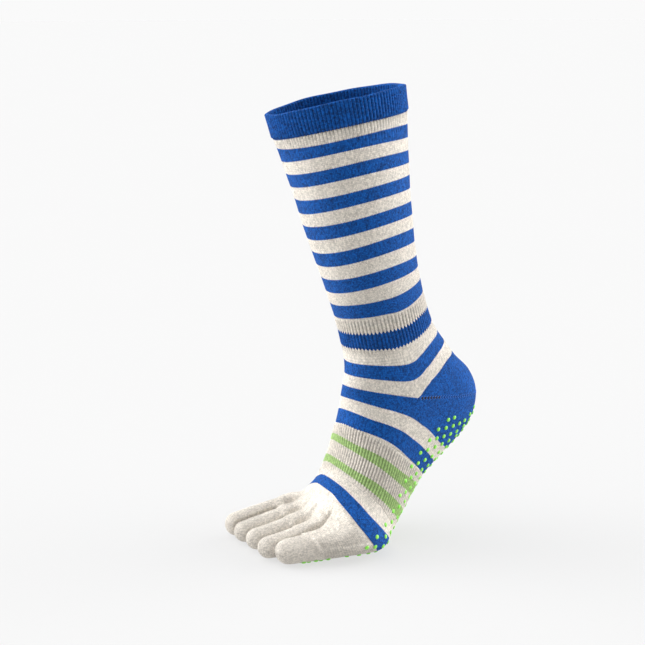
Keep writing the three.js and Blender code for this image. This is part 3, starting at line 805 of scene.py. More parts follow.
def knit_groups():
    """The shader groups of a knit: stitches, furrows between ribs, stripe edges and yarn."""
    stitches = {"Stitches": ("Vector",)}
    parts = (
        ("knit stitch", stitches, {"Height": "Float", "Furrow": "Float", "Fleck": "Float"}, build_stitch),
        ("rib furrow", {**stitches, "Wales Per Rib": ("Float", 2.0), "Relief": ("Float", 0.0)},
         {"Depth": "Float"}, build_furrow),
        ("stripe edge", {**stitches, "Depth": ("Float", 0.0), "Teeth": ("Float", 1.0),
                         "Tooth Height": ("Float", 0.2)}, {"Mask": "Float"}, build_edge),
        ("yarn", {"Colour": ("Color",), "Furrow": ("Float", 0.0), "Shade": ("Float", 0.2),
                  "Mottle": ("Float", 0.2), "Fleck": ("Float", 0.0), "Shadow": ("Float", 0.0)},
         {"Colour": "Color", "Roughness": "Float", "Fuzz": "Float"}, build_yarn))
    return [node_group("Shader", *part) for part in parts]


def material(name, paint, **values):
    """A material, made once. paint gets its nodes and its Principled BSDF."""
    if name not in bpy.data.materials:
        made = bpy.data.materials.new(name)
        made.use_nodes = True
        paint(Nodes(made.node_tree), made.node_tree.nodes["Principled BSDF"], **values)
    return bpy.data.materials[name]


def finish_skin(s, skin, colour, roughness, height, distance, fixed):
    """Feeds a skin, with a bump whose full height is distance, and sets its fixed inputs."""
    bump = s.node("ShaderNodeBump", {"Distance": distance, "Height": height}).outputs[0]
    feeds = {"Base Color": colour, "Roughness": roughness, "Normal": bump, **fixed}
    for label, value in feeds.items():
        s.feed(skin.inputs[label], value)


def paint_knit(s, skin, teeth=1.0, tooth=0.32, rib=0.0, stripes=True, seam=False):
    """Knitted fabric whose stripes follow the blue and green depths kept on the mesh."""
    stitch, furrow, edge, yarn = knit_groups()
    stitches = s.node("ShaderNodeUVMap", uv_map="knit").outputs[0]
    woven = s.group(stitch, Stitches=stitches)
    colour = (*colours().cream, 1)
    blue = 0.0
    if stripes:
        green, blue = (s.group(edge, Stitches=stitches, Depth=s.kept(name), Teeth=teeth,
                               Tooth_Height=tooth)["Mask"] for name in ("green", "blue"))
        colour = s.mix(blue, s.mix(green, colour, (*colours().green, 1)), (*colours().blue, 1))
    # Painted shade along the heel's gore line.
    shadow = s.kept("seam") if seam else 0.0
    # Painted shade in the furrows between the ribs.
    if rib:
        shadow = s.group(furrow, Stitches=stitches, Wales_Per_Rib=rib, Relief=s.kept("relief"))["Depth"]
    made = s.group(yarn, Colour=colour, Furrow=woven["Furrow"], Fleck=woven["Fleck"], Shadow=shadow,
                   Shade=s.math("MULTIPLY_ADD", blue, 0.06, 0.50),
                   Mottle=s.math("MULTIPLY_ADD", blue, 0.9, 0.8))
    height = s.math("ADD", woven["Height"], made["Fuzz"])
    finish_skin(s, skin, made["Colour"], made["Roughness"], height, 0.00034,
                {"Specular IOR Level": 0.12, "Sheen Weight": 0.03, "Sheen Roughness": 0.5})


def paint_rubber(s, skin):
    place = s.place()
    grain = s.noise(place, 900.0, 3.0, 0.6)
    light = colours().rubber
    dark = [c * 0.72 for c in light]
    finish_skin(s, skin, s.mix(grain, (*dark, 1), (*light, 1)),
                s.math("MULTIPLY_ADD", grain, 0.25, 0.32), s.noise(place, 2400.0), 0.00012,
                {"Specular IOR Level": 0.45})


def paint_yarn(s, skin, share):
    """Plain blue yarn, a share as bright as the blue of the stripes: shares above 1 give lit copies as
    painted highlight, small shares dark copies as painted shade.
    """
    colour = [c * share for c in colours().blue]
    made = s.group(knit_groups()[3], Colour=(*colour, 1), Furrow=0.0, Shade=0.2, Mottle=0.6)
    finish_skin(s, skin, made["Colour"], made["Roughness"], made["Fuzz"], 0.0001,
                {"Sheen Weight": 0.15})


# Pieces

def seat(obj, slot, *nodes):
    """Finishes a piece: it rides on the sock and stands for its CAD nodes."""
    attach(obj, "root")
    if nodes:
        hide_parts(*nodes)


def tube(name, first, last, length, steps, wales, yarn, ribs=0, depth=0.0, relief=None):
    """A knitted tube between two rows. length is its mean height, for counting courses."""
    cloth = Cloth(knit().columns)
    courses = length / knit().course
    for share in np.linspace(0, 1, steps + 1):
        raised = relief(share * length) if relief else 0.0
        cloth.add(between(first, last, share), 0.0, courses * share, raised)
    for share in np.linspace(1, 0, INNER_ROWS):
        cloth.add(between(first, last, share), sizes().fabric_wall, courses * share, outer=False)
    obj = cloth.mesh(name, wales)
    if ribs:
        grow_ribs(obj, ribs, depth, yarn)
    else:
        obj.data.materials.append(yarn)
    return obj


def make_cuff():
    """The folded double layer at the top, ribbed, with a slightly wavy edge."""
    size, yarn = sizes(), knit()
    cloth = Cloth(yarn.columns)
    wall = size.cuff_wall
    start = wall / 2 / top_step()
    courses = size.cuff_height / yarn.course

    def edge(down):
        def at(angle):
            waver = 0.22 * np.sin(5 * angle + 1) + 0.16 * np.sin(9 * angle + 2)
            return rim(angle) + down + waver * MM / top_step()
        return at

    shares = np.linspace(0, 1, 16)
    for share in shares:
        swell = (0.3 + 0.9 * (1 - share)) * min(1, share * 30) * MM
        cloth.add(between(cuff_end, edge(start), share), -swell, -(1 - share) * courses, 1.0)
    for turn in (25, 50, 75, 90, 105, 130, 155):
        a = math.radians(turn)
        inset = wall / 2 * (1 - math.cos(a)) - 0.3 * MM * (1 - turn / 180)
        relief = max(0.9 * math.cos(a), 0.25)
        cloth.add(edge(start * (1 - math.sin(a))), inset, 1 + turn / 60, relief)
    for share in shares:
        cloth.add(between(edge(start), cuff_end, share), wall, 4 + share * courses, 0.9, outer=False)
    obj = cloth.mesh("knitted_cuff", yarn.wales)
    grow_ribs(obj, yarn.cuff_ribs, yarn.cuff_depth,
              material("cuff_yarn", paint_knit, teeth=0.5, tooth=0.45, rib=2.0))
    seat(obj, "cuff_blue", "cuff")


def make_leg():
    """The plain tubes. The ribs of the cuff fade out over the top of the leg."""
    yarn = knit()
    striped = material("striped_yarn", paint_knit, rib=2.0)
    leg = tube("knitted_leg", cuff_end, band_top, 0.150, 64, yarn.wales, striped,
               yarn.cuff_ribs, yarn.cuff_depth, lambda down: math.exp(-down / (5.5 * MM)))
    seat(leg, "striped_knit", "leg")
    ankle = tube("knitted_ankle", row_place("band_end"), pocket_top, 0.024, 30, yarn.wales, striped)
    seat(ankle, "striped_knit", "ankle")
    instep = tube("knitted_instep", row_place("pocket_end"), row_place("rib_start"), 0.042, 40,
                  yarn.wales, striped)
    seat(instep, "striped_knit", "instep")


def make_bands():
    """The two ribbed bands. Their ribs start over 2 mm and fade out at the far end."""
    yarn = knit()
    for name, first, last, length, ribs, wales_per_rib, tooth, fade in (
            ("ankle", band_top, row_place("band_end"), 0.034, yarn.ankle_ribs, 3.0, 1.1, 9 * MM),
            ("arch", row_place("rib_start"), row_place("rib_end"), 0.042, yarn.arch_ribs, 2.5, 0.45,
             4 * MM)):

        def relief(down):
            return float(smoothstep(down / (2 * MM)) * smoothstep((length - down) / fade))

        paint = material(f"{name}_rib_yarn", paint_knit, teeth=1 / wales_per_rib, tooth=tooth,
                         rib=wales_per_rib)
        band = tube(f"knitted_{name}_band", first, last, length, 40, int(wales_per_rib * ribs), paint,
                    ribs, yarn.band_depth, relief)
        seat(band, "ribbed_knit", f"{name}_band")


def make_heel():
    """The pocket behind the corners, with its stitches turned at the gore line."""
    columns, upper, lower = 420, 30, 22
    cloth = Cloth(columns, math.radians(CORNER), math.radians(360 - CORNER))
    last = row_place("pocket_end")
    for share in np.linspace(0, 1, upper + 1):
        cloth.add(between(pocket_top, gore_place, share), 0.0, 0)
    for share in np.linspace(0, 1, lower + 1)[1:]:
        cloth.add(between(gore_place, last, share), 0.0, 0)
    outer = len(cloth.rows)
    for share in np.linspace(0, 1, 13):
        cloth.add(between(last, pocket_top, share), sizes().fabric_wall, 0, outer=False)
    obj = cloth.mesh("knitted_heel", 1, closed=False)
    grid = np.stack([row["point"] for row in cloth.rows[:outer]])
    row, column = np.divmod(read(obj.data.loops, "vertex_index"), columns + 1)
    outside = row < outer
    below = np.repeat(row.reshape(-1, 4).min(1) >= upper, 4) & outside
    flat = np.zeros((len(row), 2))
    for part, uv in zip((outside, below), heel_stitches(grid)):
        flat[part] = uv[row[part], column[part]]
    write_stitches(obj, flat)
    # Painted shade along the gore line: darkest on it, fading over about a millimetre to either side.
    gap = np.linalg.norm(grid - grid[upper], axis=-1) / MM
    seam = np.zeros((len(cloth.rows), columns + 1))
    seam[:outer] = 1.1 * np.exp(-(gap / 0.9) ** 2)
    write(obj, "seam", seam)
    edit_mesh(obj, lambda b: bmesh.ops.remove_doubles(b, verts=b.verts, dist=1e-6))
    obj.data.materials.append(material("heel_yarn", paint_knit, seam=True))
    seat(obj, "heel_blue", "heel")
    stitch_gore(cloth.rows[upper])


def heel_stitches(grid):
    """Stitch coordinates that are square to the pocket's top edge, and to its bottom edge."""
    for line in (grid[0], grid[-1]):
        run = run_along(line)
        ahead = unit(np.gradient(line, axis=0))
        far = np.linalg.norm(grid[:, :, None] - line, axis=-1)
        near = far.argmin(-1)
        slip = ((grid - line[near]) * ahead[near]).sum(-1)
        yield np.stack([(run[near] + slip) / STITCH_WIDTH, far.min(-1) / knit().course], -1)


def add_bead(b, sides, stretch, turn=0.0, shift=0.0):
    """A rounded bead: stretched along x, y and z, turned flat on its back and moved along y."""
    matrix = Matrix.Translation((0, shift, 0)) @ Matrix.Rotation(turn, 4, "Z")
    matrix @= Matrix.Diagonal((*stretch, 1))
    bmesh.ops.create_uvsphere(b, u_segments=sides, v_segments=6, radius=1.0, matrix=matrix)


def stitch_gore(row):
    """Raised V stitches along the gore, in a blue lighter than the stripes' as a painted highlight, and
    small dark cups between those near the corners, painted shade in the holes there.
    """
    run = run_along(row["point"])
    pitch = 3.1 * MM
    at = np.arange(pitch, run[-1] - pitch, pitch)
    where, up = (np.stack([np.interp(at, run, row[key][:, k]) for k in range(3)], -1)
                 for key in ("point", "out"))
    up = unit(up)
    ahead = unit(np.gradient(where, axis=0))
    away = np.minimum(at, run[-1] - at)
    strands = bmesh.new()
    for side in (-1, 1):
        add_bead(strands, 8, (1.7 * MM, 0.42 * MM, 0.315 * MM), side * math.radians(34),
                 side * 0.85 * MM)
    size = 0.75 + 0.25 * np.exp(-away / (14 * MM))
    # The V stitches' blue is painted 1.2 times as bright as the stripes', a painted highlight on the
    # raised strands.
    obj = scatter("gore_stitches", where + up * 0.05 * MM, up, ahead, size,
                  from_bmesh("gore_stitch_shape", strands), material("gore_yarn", paint_yarn, share=1.2))
    seat(obj, "heel_blue")
    # Dark cups of nearly black blue: painted shade standing in the holes between the stitches.
    cup = bmesh.new()
    add_bead(cup, 10, (1.1 * MM, 1.32 * MM, 0.242 * MM))
    near = away < 22 * MM
    where = where + up * 0.22 * MM + ahead * pitch / 2
    obj = scatter("gore_holes", where[near], up[near], ahead[near], np.ones(near.sum()),
                  from_bmesh("gore_hole_shape", cup), material("gore_shadow", paint_yarn, share=0.06))
    seat(obj, "heel_blue")


# Front of the foot

class Toe:
    """One toe: its centre line in plan and its upright ovals, in metres."""

    def __init__(self, values):
        row = dict(zip(TOE_COLUMNS, values))
        size, home = sizes(), section_table()[0, :3]
        self.root, self.tip = (
            np.array([row[f"{end}_x"] * size.foot_reach, row[f"{end}_y"] * size.ball_width, 0]) - home
            for end in ("root", "tip"))
        self.length = np.linalg.norm(self.tip - self.root)
        self.forward = unit(self.tip - self.root)
        self.side = np.array([-self.forward[1], self.forward[0], 0])
        self.width = row["width"] * MM
        self.web = row["web"] * size.foot_reach - home[0]
        self.row = row

    def blend(self, key, share):
        """Smooth curve through the values at the root, the knuckle and the tip."""
        a, b, c = (self.row[f"{end}_{key}"] for end in ("root", "mid", "tip"))
        return (a * (1 - share) * (1 - 2 * share) + 4 * b * share * (1 - share)
                + c * share * (2 * share - 1))

    def size(self, share):
        """Half the width and half the height of the oval at a share of the way."""
        wide, tall = (self.blend(key, share) / 2 for key in ("wide", "tall"))
        return self.width * wide, sizes().toe_height * tall

    def along(self, points):
        return (points - self.root) @ self.forward / self.length

    def across(self, points, share):
        """Distance beside the centre line, in half widths."""
        return (points - self.root) @ self.side / self.size(share)[0]


def toes():
    return [Toe(values) for values in TOES.values()]


def toe_rings(toe):
    """Upright ovals along a toe and round its tip, and the middles of both ends."""
    around = np.linspace(0, 2 * np.pi, 48, endpoint=False)
    up = np.array([0, 0, 1.0])
    rings = []

    def oval(centre, wide, tall, lift):
        rings.append(centre + toe.side * wide * np.cos(around)[:, None]
                     + up * (lift + tall * np.sin(around))[:, None])

    for share in np.linspace(0, 1, 15):
        wide, tall = toe.size(share)
        swell = 0.75 + 0.25 * min(1, share / 0.2)
        oval(toe.root + (toe.tip - toe.root) * share, wide * swell, tall * swell, tall)
    wide, tall = toe.size(1)
    for turn in (12, 24, 36, 48, 60, 72, 82):
        a = math.radians(turn)
        oval(toe.tip + toe.forward * wide * math.sin(a), wide * math.cos(a), tall * math.cos(a), tall)
    return np.array(rings), rings[0].mean(0), toe.tip + toe.forward * wide + up * tall


def foot_rings():
    """Rings of the foot up to the webs and round its blunt end, and the middles of both ends."""
    places = np.linspace(SKIN_START, LAST_PLACE, 32)
    angle = np.linspace(0, 2 * np.pi, 144, endpoint=False)
    rings = body_point(places[:, None], angle[None])
    middle = rings[-1].mean(0)
    dome = []
    for scale, ahead in ((0.95, 0.25), (0.86, 0.55), (0.72, 0.75), (0.55, 0.9), (0.3, 1.0)):
        dome.append(middle + (rings[-1] - middle) * scale + (ahead * DOME_REACH, 0, 0))
    rings = np.concatenate([rings, dome])
    rings = settle(rings.reshape(-1, 3)).reshape(rings.shape)
    return rings, rings[0].mean(0), rings[-1].mean(0)


def skin_mesh(rings, start, end):
    """Points and faces of a closed skin through rings of equally many points."""
    n = rings.shape[1]
    points = np.concatenate([rings.reshape(-1, 3), [start, end]])
    first, last = len(points) - 2, (len(rings) - 1) * n
    faces = []
    for j in range(n):
        k = (j + 1) % n
        faces += [(i + j, i + n + j, i + n + k, i + k) for i in range(0, last, n)]
        faces += [(first, j, k), (first + 1, last + k, last + j)]
    return points, faces


def remeshed_foot(voxel):
    """Foot and toes as one skin of small squares."""
    points, faces = [], []
    for parts in (foot_rings(), *map(toe_rings, toes())):
        more, corners = skin_mesh(*parts)
        faces += [[len(points) + i for i in face] for face in corners]
        points += map(tuple, more)
    obj = link_object("knitted_toes", bpy.data.meshes.new("knitted_toes"))
    obj.data.from_pydata(points, [], faces)
    edit_mesh(obj, lambda b: bmesh.ops.recalc_face_normals(b, faces=b.faces))
    modifier = obj.modifiers.new("skin", "REMESH")
    modifier.mode = "VOXEL"
    modifier.voxel_size = voxel
    return plain(obj)


def relax(points, pairs, times, share):
    """Moves every point a share of the way to the middle of its neighbours, times over."""
    count = np.bincount(pairs.ravel(), minlength=len(points))[:, None]
    for _ in range(times):
        total = np.zeros_like(points)
        np.add.at(total, pairs[:, 0], points[pairs[:, 1]])
        np.add.at(total, pairs[:, 1], points[pairs[:, 0]])
        points = points + (total / count - points) * share
    return points


def nearest_on_body(points):
    """Place and angle of the nearest point of the foot's surface, and how far it is."""
    places = np.linspace(FOOT_START, LAST_PLACE, 120)
    turns = np.radians(np.arange(-180, 180))
    s, a = (g.ravel() for g in np.meshgrid(places, turns, indexing="ij"))
    grid = body_point(s, a)
    tree = KDTree(len(grid))
    for i, p in enumerate(grid):
        tree.insert(p, i)
    tree.balance()
    found = np.array([tree.find(p)[1] for p in points])
    offset = points - grid[found]
    down, round_ = (step[found] for step in body_steps(s, a))
    place = s[found] + np.clip((offset * down).sum(-1) / (down * down).sum(-1), -0.03, 0.03)
    angle = a[found] + np.clip((offset * round_).sum(-1) / (round_ * round_).sum(-1), -0.02, 0.02)
    return place, angle, np.linalg.norm(offset, axis=-1)


def toe_coordinates(points):
    """For every point: the nearest toe, its closeness, its share of the way and its angle."""
    out = []
    for toe in toes():
        along = toe.along(points)
        inside = np.clip(along, 0, 1)
        wide, tall = toe.size(inside)
        across = toe.across(points, inside)
        rise = (points[:, 2] + sizes().stand_height - tall) / tall
        over = np.maximum(along - 1, 0) * toe.length / wide
        out.append((np.sqrt(across ** 2 + rise ** 2 + over ** 2), along, np.arctan2(rise, across)))
    out = np.array(out)
    which = out[:, 0].argmin(0)
    return which, *out[which, :, np.arange(len(points))].T


def crotches():
    """Point and backward direction of each web between two toes, in plan."""
    out = []
    for one, two in zip(toes(), toes()[1:]):
        at = [toe.root[1] + (one.web - toe.root[0]) / (toe.tip[0] - toe.root[0])
              * (toe.tip[1] - toe.root[1]) for toe in (one, two)]
        share = one.width / (one.width + two.width)
        out.append((np.array([one.web, at[0] + (at[1] - at[0]) * share]),
                    unit(-(one.forward + two.forward)[:2])))
    return out


def web_line(points):
    """How far each point is ahead of the line through the webs."""
    at = np.array([web for web, back in crotches()])
    order = at[:, 1].argsort()
    return points[:, 0] - np.interp(points[:, 1], at[order, 1], at[order, 0])


def web_closeness(points):
    """Near 1 on top of the foot where the toes join it, falling away in front and behind."""
    top = smoothstep((points[:, 2] + sizes().stand_height - 9 * MM) / (8 * MM))
    return np.exp(-((web_line(points) + 4 * MM) / (9 * MM)) ** 2) * (0.8 + 0.2 * top)


def settle(points):
    """Lowers the top of the foot towards the backs of the toes as it nears the webs."""
    height = points[:, 2] + sizes().stand_height
    ahead = web_line(points)
    spread = 1.25 + 1.8 * (1 - smoothstep((ahead + 16 * MM) / (16 * MM)))
    limit = np.zeros(len(points))
    for k, toe in enumerate(toes()):
        share = np.clip(toe.along(points), 0, 1)
        across = toe.across(points, share)
        outer = (k == 0) & (across > 0) | (k == len(TOES) - 1) & (across < 0)
        across = np.abs(across) / (spread * np.where(outer, 1.5, 1))
        over = 1 + np.sqrt(np.maximum(0, 1 - across ** 2))
        limit = np.maximum(limit, toe.size(share)[1] * over)
    near = smoothstep((ahead + 25 * MM) / (24 * MM)) * smoothstep((height - 6 * MM) / (10 * MM))
    points = points.copy()
    points[:, 2] -= np.maximum(0, height - limit - 0.3 * MM) * near
    return points


def creases(points):
    """How close each point is to the line where two neighbouring toes touch."""
    along = [toe.along(points) for toe in toes()]
    reach = [np.abs(toe.across(points, np.clip(a, 0, 1))) for toe, a in zip(toes(), along)]
    out = np.zeros(len(points))
    for k in range(len(TOES) - 1):
        gap = np.exp(-((reach[k] - reach[k + 1]) / 0.16) ** 2)
        touching = smoothstep((1.5 - reach[k]) / 0.3)
        start = 0.36 if k else 0.12
        here = smoothstep((along[k] - start) / 0.2) * smoothstep((1.25 - along[k]) / 0.2)
        out = np.maximum(out, gap * touching * here)
    return out


def fold_toes(points, normals):
    """Creases that run back from the webs, small gathers beside them and rings at one tip."""
    top = smoothstep((points[:, 2] + sizes().stand_height - 8 * MM) / (12 * MM))
    move = -1.9 * creases(points)
    for k, (at, back) in enumerate(crotches()):
        offset = (points[:, :2] - at) / MM
        away = offset @ back
        across = np.abs(offset @ np.array([-back[1], back[0]]))
        behind = np.maximum(away, 0)
        valley = np.exp(-(across / (2.2 + 0.10 * behind)) ** 2 - (behind / 12) ** 2)
        move -= 2.2 * valley * smoothstep((away + 9) / 6) * top
        gather = np.sin(away * 2.1 + across * 0.9 + k)
        close = np.exp(-((away + 3) / 8) ** 2 - ((across - 4.5) / 3.2) ** 2)
        move += 0.55 * gather * close * top
    big = toes()[0]
    middle = big.tip + big.forward * 9 * MM + big.side * 5 * MM
    middle[2] = 9 * MM - sizes().stand_height
    from_tip = np.linalg.norm(points - middle, axis=1) / MM
    move += 0.11 * np.sin(from_tip * 2 * np.pi / 1.9) * np.exp(-(from_tip / 8) ** 2)
    return points + normals * (move * MM)[:, None]


def make_foot():
    """Rows of the ball before the toes, then the toes as one seamless skin."""
    ball_end = foot_edge("ball bottom")
    ball = tube("knitted_ball", row_place("rib_end"), ball_end, 0.024, 24, knit().wales,
                material("striped_yarn", paint_knit, rib=2.0))
    seat(ball, "cream_knit", "forefoot")

    obj = remeshed_foot(0.85 * MM)
    pairs = np.array([e.vertices[:] for e in obj.data.edges])
    points = relax(read_points(obj), pairs, 4, 0.5)
    points = relax(points, pairs, 36, 0.5 * web_closeness(points)[:, None])
    write_points(obj, points)
    points = fold_toes(points, read_points(obj, "normal"))
    points = relax(points, pairs, 1, 0.35)
    write_points(obj, points)
    points = points + read_points(obj, "normal") * wander(points)[:, None]

    # Behind the last row the skin lies just under the ball, and is cut off a little further back.
    place, angle, far = nearest_on_body(points)
    past = (place - ball_end(angle)) * np.linalg.norm(body_steps(place, angle)[0], axis=-1)
    hold = (1 - smoothstep(past / (7 * MM))) * (far < 10 * MM)
    foot = body_point(np.clip(place, FOOT_START, LAST_PLACE), angle)
    seated = foot + body_out(place, angle) * (wander(foot) - 0.28 * MM)[:, None]
    write_points(obj, points + (seated - points) * hold[:, None])
    cut = past < -1.6 * MM
    edit_mesh(obj, lambda b: bmesh.ops.delete(b, geom=[v for v in b.verts if cut[v.index]],
                                              context="VERTS"))
    toe_stitches(obj)
    solid = obj.modifiers.new("wall", "SOLIDIFY")
    solid.thickness = 1.3 * MM
    solid.offset = -1
    plain(obj)
    smooth_faces(obj)
    obj.data.materials.append(material("toe_yarn", paint_knit, stripes=False))
    seat(obj, "cream_knit", "big_toe", "second_toe", "third_toe", "fourth_toe", "little_toe")


def toe_stitches(obj):
    """Stitch coordinates: round and along each toe, and round the foot behind them."""
    yarn = knit()
    points = read_points(obj)
    which, reach, along, turn = toe_coordinates(points)
    place, angle, far = nearest_on_body(points)
    on_toe = (reach < 1.25) & (far > 0.8 * MM)
    around = np.array([toe.width * 3.2 / TOE_STITCH for toe in toes()])[which]
    length = np.array([toe.length for toe in toes()])[which]
    period = np.where(on_toe, around, yarn.wales)
    u = np.where(on_toe, turn, angle) / (2 * np.pi) * period
    v = np.where(on_toe, along * length, (place - 16) * PLACE_LENGTH) / yarn.course
    loops = read(obj.data.loops, "vertex_index")
    first = np.repeat(loops[read(obj.data.polygons, "loop_start")],
                      read(obj.data.polygons, "loop_total"))
    joined = u[loops] + np.round((u[first] - u[loops]) / period[first]) * period[first]
    write_stitches(obj, np.stack([joined, v[loops]], -1))


# Grip dots

def dot_shape(radius, height, sides=12):
    """One rubber dot: a low dome with a steep rim."""
    b = bmesh.new()
    layers = []
    for share, rise in ((1.0, -0.25), (0.98, 0.35), (0.82, 0.78), (0.45, 0.97)):
        turns = [2 * math.pi * i / sides for i in range(sides)]
        layers.append([b.verts.new((radius * share * math.cos(a), radius * share * math.sin(a),
                                    height * rise)) for a in turns])
    crown = b.verts.new((0, 0, height))
    base = b.verts.new((0, 0, -0.25 * height))
    for i in range(sides):
        j = (i + 1) % sides
        for low, high in zip(layers, layers[1:]):
            b.faces.new((low[i], low[j], high[j], high[i]))
        b.faces.new((layers[-1][i], layers[-1][j], crown))
        b.faces.new((layers[0][j], layers[0][i], base))
    return from_bmesh("dot_shape", b)


def sole_spots():
    """Places and angles of the staggered dots from the heel to the ball."""
    turns = np.radians(np.linspace(60, 300, 961))
    rows = range(len(GRIP_PLACES))
    out = []
    for column in range(GRIP_COLUMNS + 1):
        inward = min(column, GRIP_COLUMNS - column)
        for row in rows:
            back = (np.interp(row, GRIP_BACK_ROWS, GRIP_BACK) * min(inward, GRIP_RIM)
                    + 0.5 * max(inward - GRIP_RIM, 0))
            place = np.interp(row - back, rows, GRIP_PLACES)
            if row < back or place > GRIP_END:
                continue
            edge = math.radians(np.interp(place, GRIP_SIDE_PLACES, GRIP_SIDE_ANGLES))
            arc = run_along(body_point(place, turns))
            ends = np.interp([edge, 2 * math.pi - edge], turns, arc)
            angle = np.interp(ends[0] + (ends[1] - ends[0]) * column / GRIP_COLUMNS, arc, turns)
            if place >= np.interp(turned(angle), GRIP_TOP_ANGLES, GRIP_TOP_PLACES):
                out.append((place, angle))
    return np.array(out).T


def toe_spots():
    """Plan points of the staggered dots under the toes."""
    out = []
    gap = sizes().dot_gap
    for toe in toes():
        for row in range(-6, -1):
            for column in (-2, -1, 0, 1, 2):
                across = column * gap / 2 * 1.15
                if (row + column) % 2 == 0 and abs(across) <= toe.width * 0.30:
                    out.append(toe.tip + toe.forward * row * gap * 0.9 + toe.side * across)
    return out


def make_grips():
    """Dots over the sole, heel and toe pads, each seated on the knit below it."""
    place, angle = sole_spots()
    points, outward = body_point(place, angle), body_out(place, angle)
    points = points + outward * wander(points)[:, None]
    tree = BVHTree.FromObject(bpy.data.objects["knitted_toes"], bpy.context.evaluated_depsgraph_get())
    for i in np.nonzero(place > foot_edge("ball bottom")(angle) - 0.05)[0]:
        points[i], outward[i] = tree.find_nearest(Vector(points[i]))[:2]
    for x, y, _ in toe_spots():
        point, normal = tree.ray_cast(Vector((x, y, FLOOR - 0.01)), Vector((0, 0, 1)))[:2]
        if point is not None and normal.z < -0.75:
            points = np.concatenate([points, [point]])
            outward = np.concatenate([outward, [normal]])
    ahead = unit(np.cross(outward, (0.0, 1.0, 0.0)))
    obj = scatter("grip_dots", points, outward, ahead, np.ones(len(points)),
                  dot_shape(sizes().dot_radius, sizes().dot_height), material("grip_rubber", paint_rubber))
    seat(obj, None)


# Stage

def paint_floor(s, skin):
    tone = s.mix(s.noise(s.place(), 3.0), (0.177, 0.177, 0.177, 1), (0.18, 0.18, 0.18, 1))
    feeds = {"Base Color": tone, "Roughness": 0.9, "Specular IOR Level": 0.0,
             "Emission Color": (1, 1, 1, 1), "Emission Strength": 0.62}
    for label, value in feeds.items():
        s.feed(skin.inputs[label], value)


def make_world():
    """Soft light from both sides, a little behind the sock, and from above, and the backdrop."""
    # back points from the sock to the camera, and right to the right of the picture.
    back = Vector((0.6157, 0.7880, 0))
    right = Vector((-back.y, back.x, 0))
    up = Vector((0, 0, 1))
    world = bpy.data.worlds.new("studio")
    world.use_nodes = True
    w = Nodes(world.node_tree)
    world.node_tree.nodes.clear()
    direction = w.node("ShaderNodeTexCoord").outputs["Generated"]
    glow = 0.27
    for lobe, power, strength in (
            (-right * 0.94 - back * 0.26 + up * 0.06, 9.0, 17.0),
            (right * 0.94 - back * 0.26 + up * 0.16, 9.0, 14.0),
            (-right * 0.55 + back * 0.12 + up * 0.8, 3.0, 1.9),
            (up + back * 0.2, 2.0, 0.7)):
        facing = w.node("ShaderNodeVectorMath", {0: direction, 1: lobe.normalized()},
                        operation="DOT_PRODUCT").outputs["Value"]
        shine = w.math("POWER", w.math("MAXIMUM", facing, 0.0), power)
        glow = w.math("MULTIPLY_ADD", shine, strength, glow)
    ambient = w.node("ShaderNodeBackground", {"Strength": glow})
    seen = w.node("ShaderNodeBackground", {"Color": (0.955, 0.955, 0.955, 1)})
    to_camera = w.node("ShaderNodeLightPath").outputs["Is Camera Ray"]
    mix = w.node("ShaderNodeMixShader", {0: to_camera, 1: ambient.outputs[0], 2: seen.outputs[0]})
    w.node("ShaderNodeOutputWorld", {0: mix.outputs[0]})
    return world


def make_stage():
    """Pale floor, soft light and the camera."""
    b = bmesh.new()
    bmesh.ops.create_grid(b, x_segments=8, y_segments=8, size=40.0,
                          matrix=Matrix.Translation((0, 0, FLOOR)))
    floor = from_bmesh("floor", b)
    floor.data.materials.append(material("studio_floor", paint_floor))
    floor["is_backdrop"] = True

    scene = bpy.context.scene
    scene.world = make_world()
    scene.view_settings.view_transform = "Standard"
    camera = bpy.data.cameras.new("camera")
    camera.lens = 80.2
    camera.clip_start = 0.05
    camera.clip_end = 50
    scene.camera = link_object("camera", camera)
    target = Vector((0.012, 0.0, -0.176))
    scene.camera.location = (0.7035, 0.8851, 0.071)
    scene.camera.rotation_euler = (target - scene.camera.location).to_track_quat("-Z", "Y").to_euler()


# Operators, panel and registration

class PieceButton:
    """Runs the function that makes one group of pieces."""

    def execute(self, context):
        self.make()
        return {"FINISHED"}


class SOCK_OT_stage(PieceButton, bpy.types.Operator):
    """Make the floor, the light and the camera"""

    bl_idname = "toe_sock.stage"
    bl_label = "Stage"
    make = staticmethod(make_stage)


class SOCK_OT_cuff(PieceButton, bpy.types.Operator):
    """Make the folded, ribbed cuff"""

    bl_idname = "toe_sock.cuff"
    bl_label = "Cuff"
    make = staticmethod(make_cuff)


class SOCK_OT_leg(PieceButton, bpy.types.Operator):
    """Make the plain striped leg, ankle and instep"""

    bl_idname = "toe_sock.leg"
    bl_label = "Leg, ankle and instep"
    make = staticmethod(make_leg)


class SOCK_OT_bands(PieceButton, bpy.types.Operator):
    """Make the ribbed bands of the ankle and the arch"""

    bl_idname = "toe_sock.bands"
    bl_label = "Ribbed bands"
    make = staticmethod(make_bands)


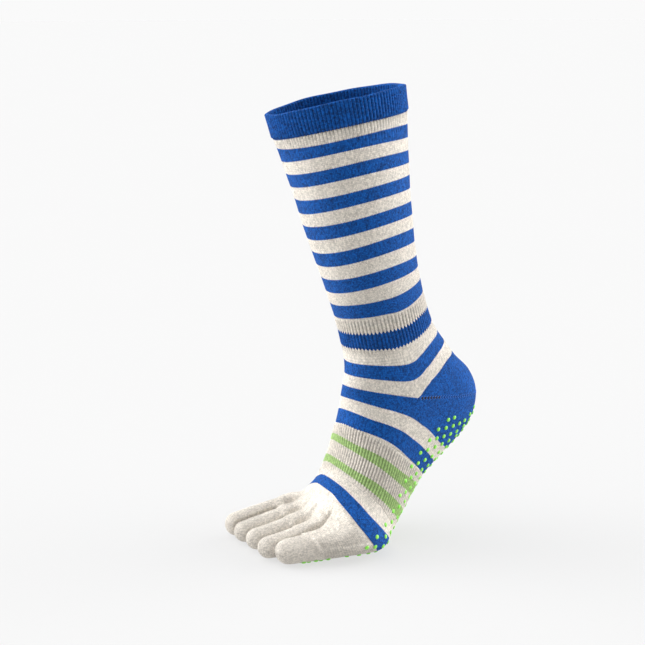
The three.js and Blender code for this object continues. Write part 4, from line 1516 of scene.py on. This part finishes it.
class SOCK_OT_heel(PieceButton, bpy.types.Operator):
    """Make the heel pocket and its gore stitches"""

    bl_idname = "toe_sock.heel"
    bl_label = "Heel"
    make = staticmethod(make_heel)


class SOCK_OT_foot(PieceButton, bpy.types.Operator):
    """Make the ball of the foot and the five toes"""

    bl_idname = "toe_sock.foot"
    bl_label = "Front of the foot"
    make = staticmethod(make_foot)


class SOCK_OT_grips(PieceButton, bpy.types.Operator):
    """Make the rubber dots of the sole, once the toes are there"""

    bl_idname = "toe_sock.grips"
    bl_label = "Grip dots"
    make = staticmethod(make_grips)


OPERATORS = (SOCK_OT_stage, SOCK_OT_cuff, SOCK_OT_leg, SOCK_OT_bands, SOCK_OT_heel, SOCK_OT_foot,
             SOCK_OT_grips)


class SOCK_PT_panel(bpy.types.Panel):
    """Sizes, knitting, colours and the buttons that make each piece"""

    bl_idname = "SOCK_PT_panel"
    bl_label = "Toe sock"
    bl_space_type = "VIEW_3D"
    bl_region_type = "UI"
    bl_category = "Toe sock"

    def draw(self, context):
        for group in (sizes(), knit(), colours()):
            box = self.layout.box()
            for key in group.__annotations__:
                box.prop(group, key)
        for operator in OPERATORS:
            self.layout.operator(operator.bl_idname)


GROUPS = {"toe_sock_sizes": SockSizes, "toe_sock_knit": SockKnit, "toe_sock_colours": SockColours}


def register():
    for cls in (*GROUPS.values(), *OPERATORS, SOCK_PT_panel):
        bpy.utils.register_class(cls)
    for name, group in GROUPS.items():
        setattr(bpy.types.Scene, name, PointerProperty(type=group))


def unregister():
    for name in GROUPS:
        delattr(bpy.types.Scene, name)
    for cls in (SOCK_PT_panel, *reversed(OPERATORS), *reversed(GROUPS.values())):
        bpy.utils.unregister_class(cls)


def write_sizes():
    """The CAD box and the dressed sock's box, as plain lists of numbers."""
    boxes = {"cad": CAD_BOX, "visual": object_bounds()}
    lists = {key: [list(corner) for corner in box] for key, box in boxes.items()}


def main():
    register()
    for operator in OPERATORS:
        group, name = operator.bl_idname.split(".")
        getattr(getattr(bpy.ops, group), name)()
    write_sizes()


if __name__ == "__main__":
    main()
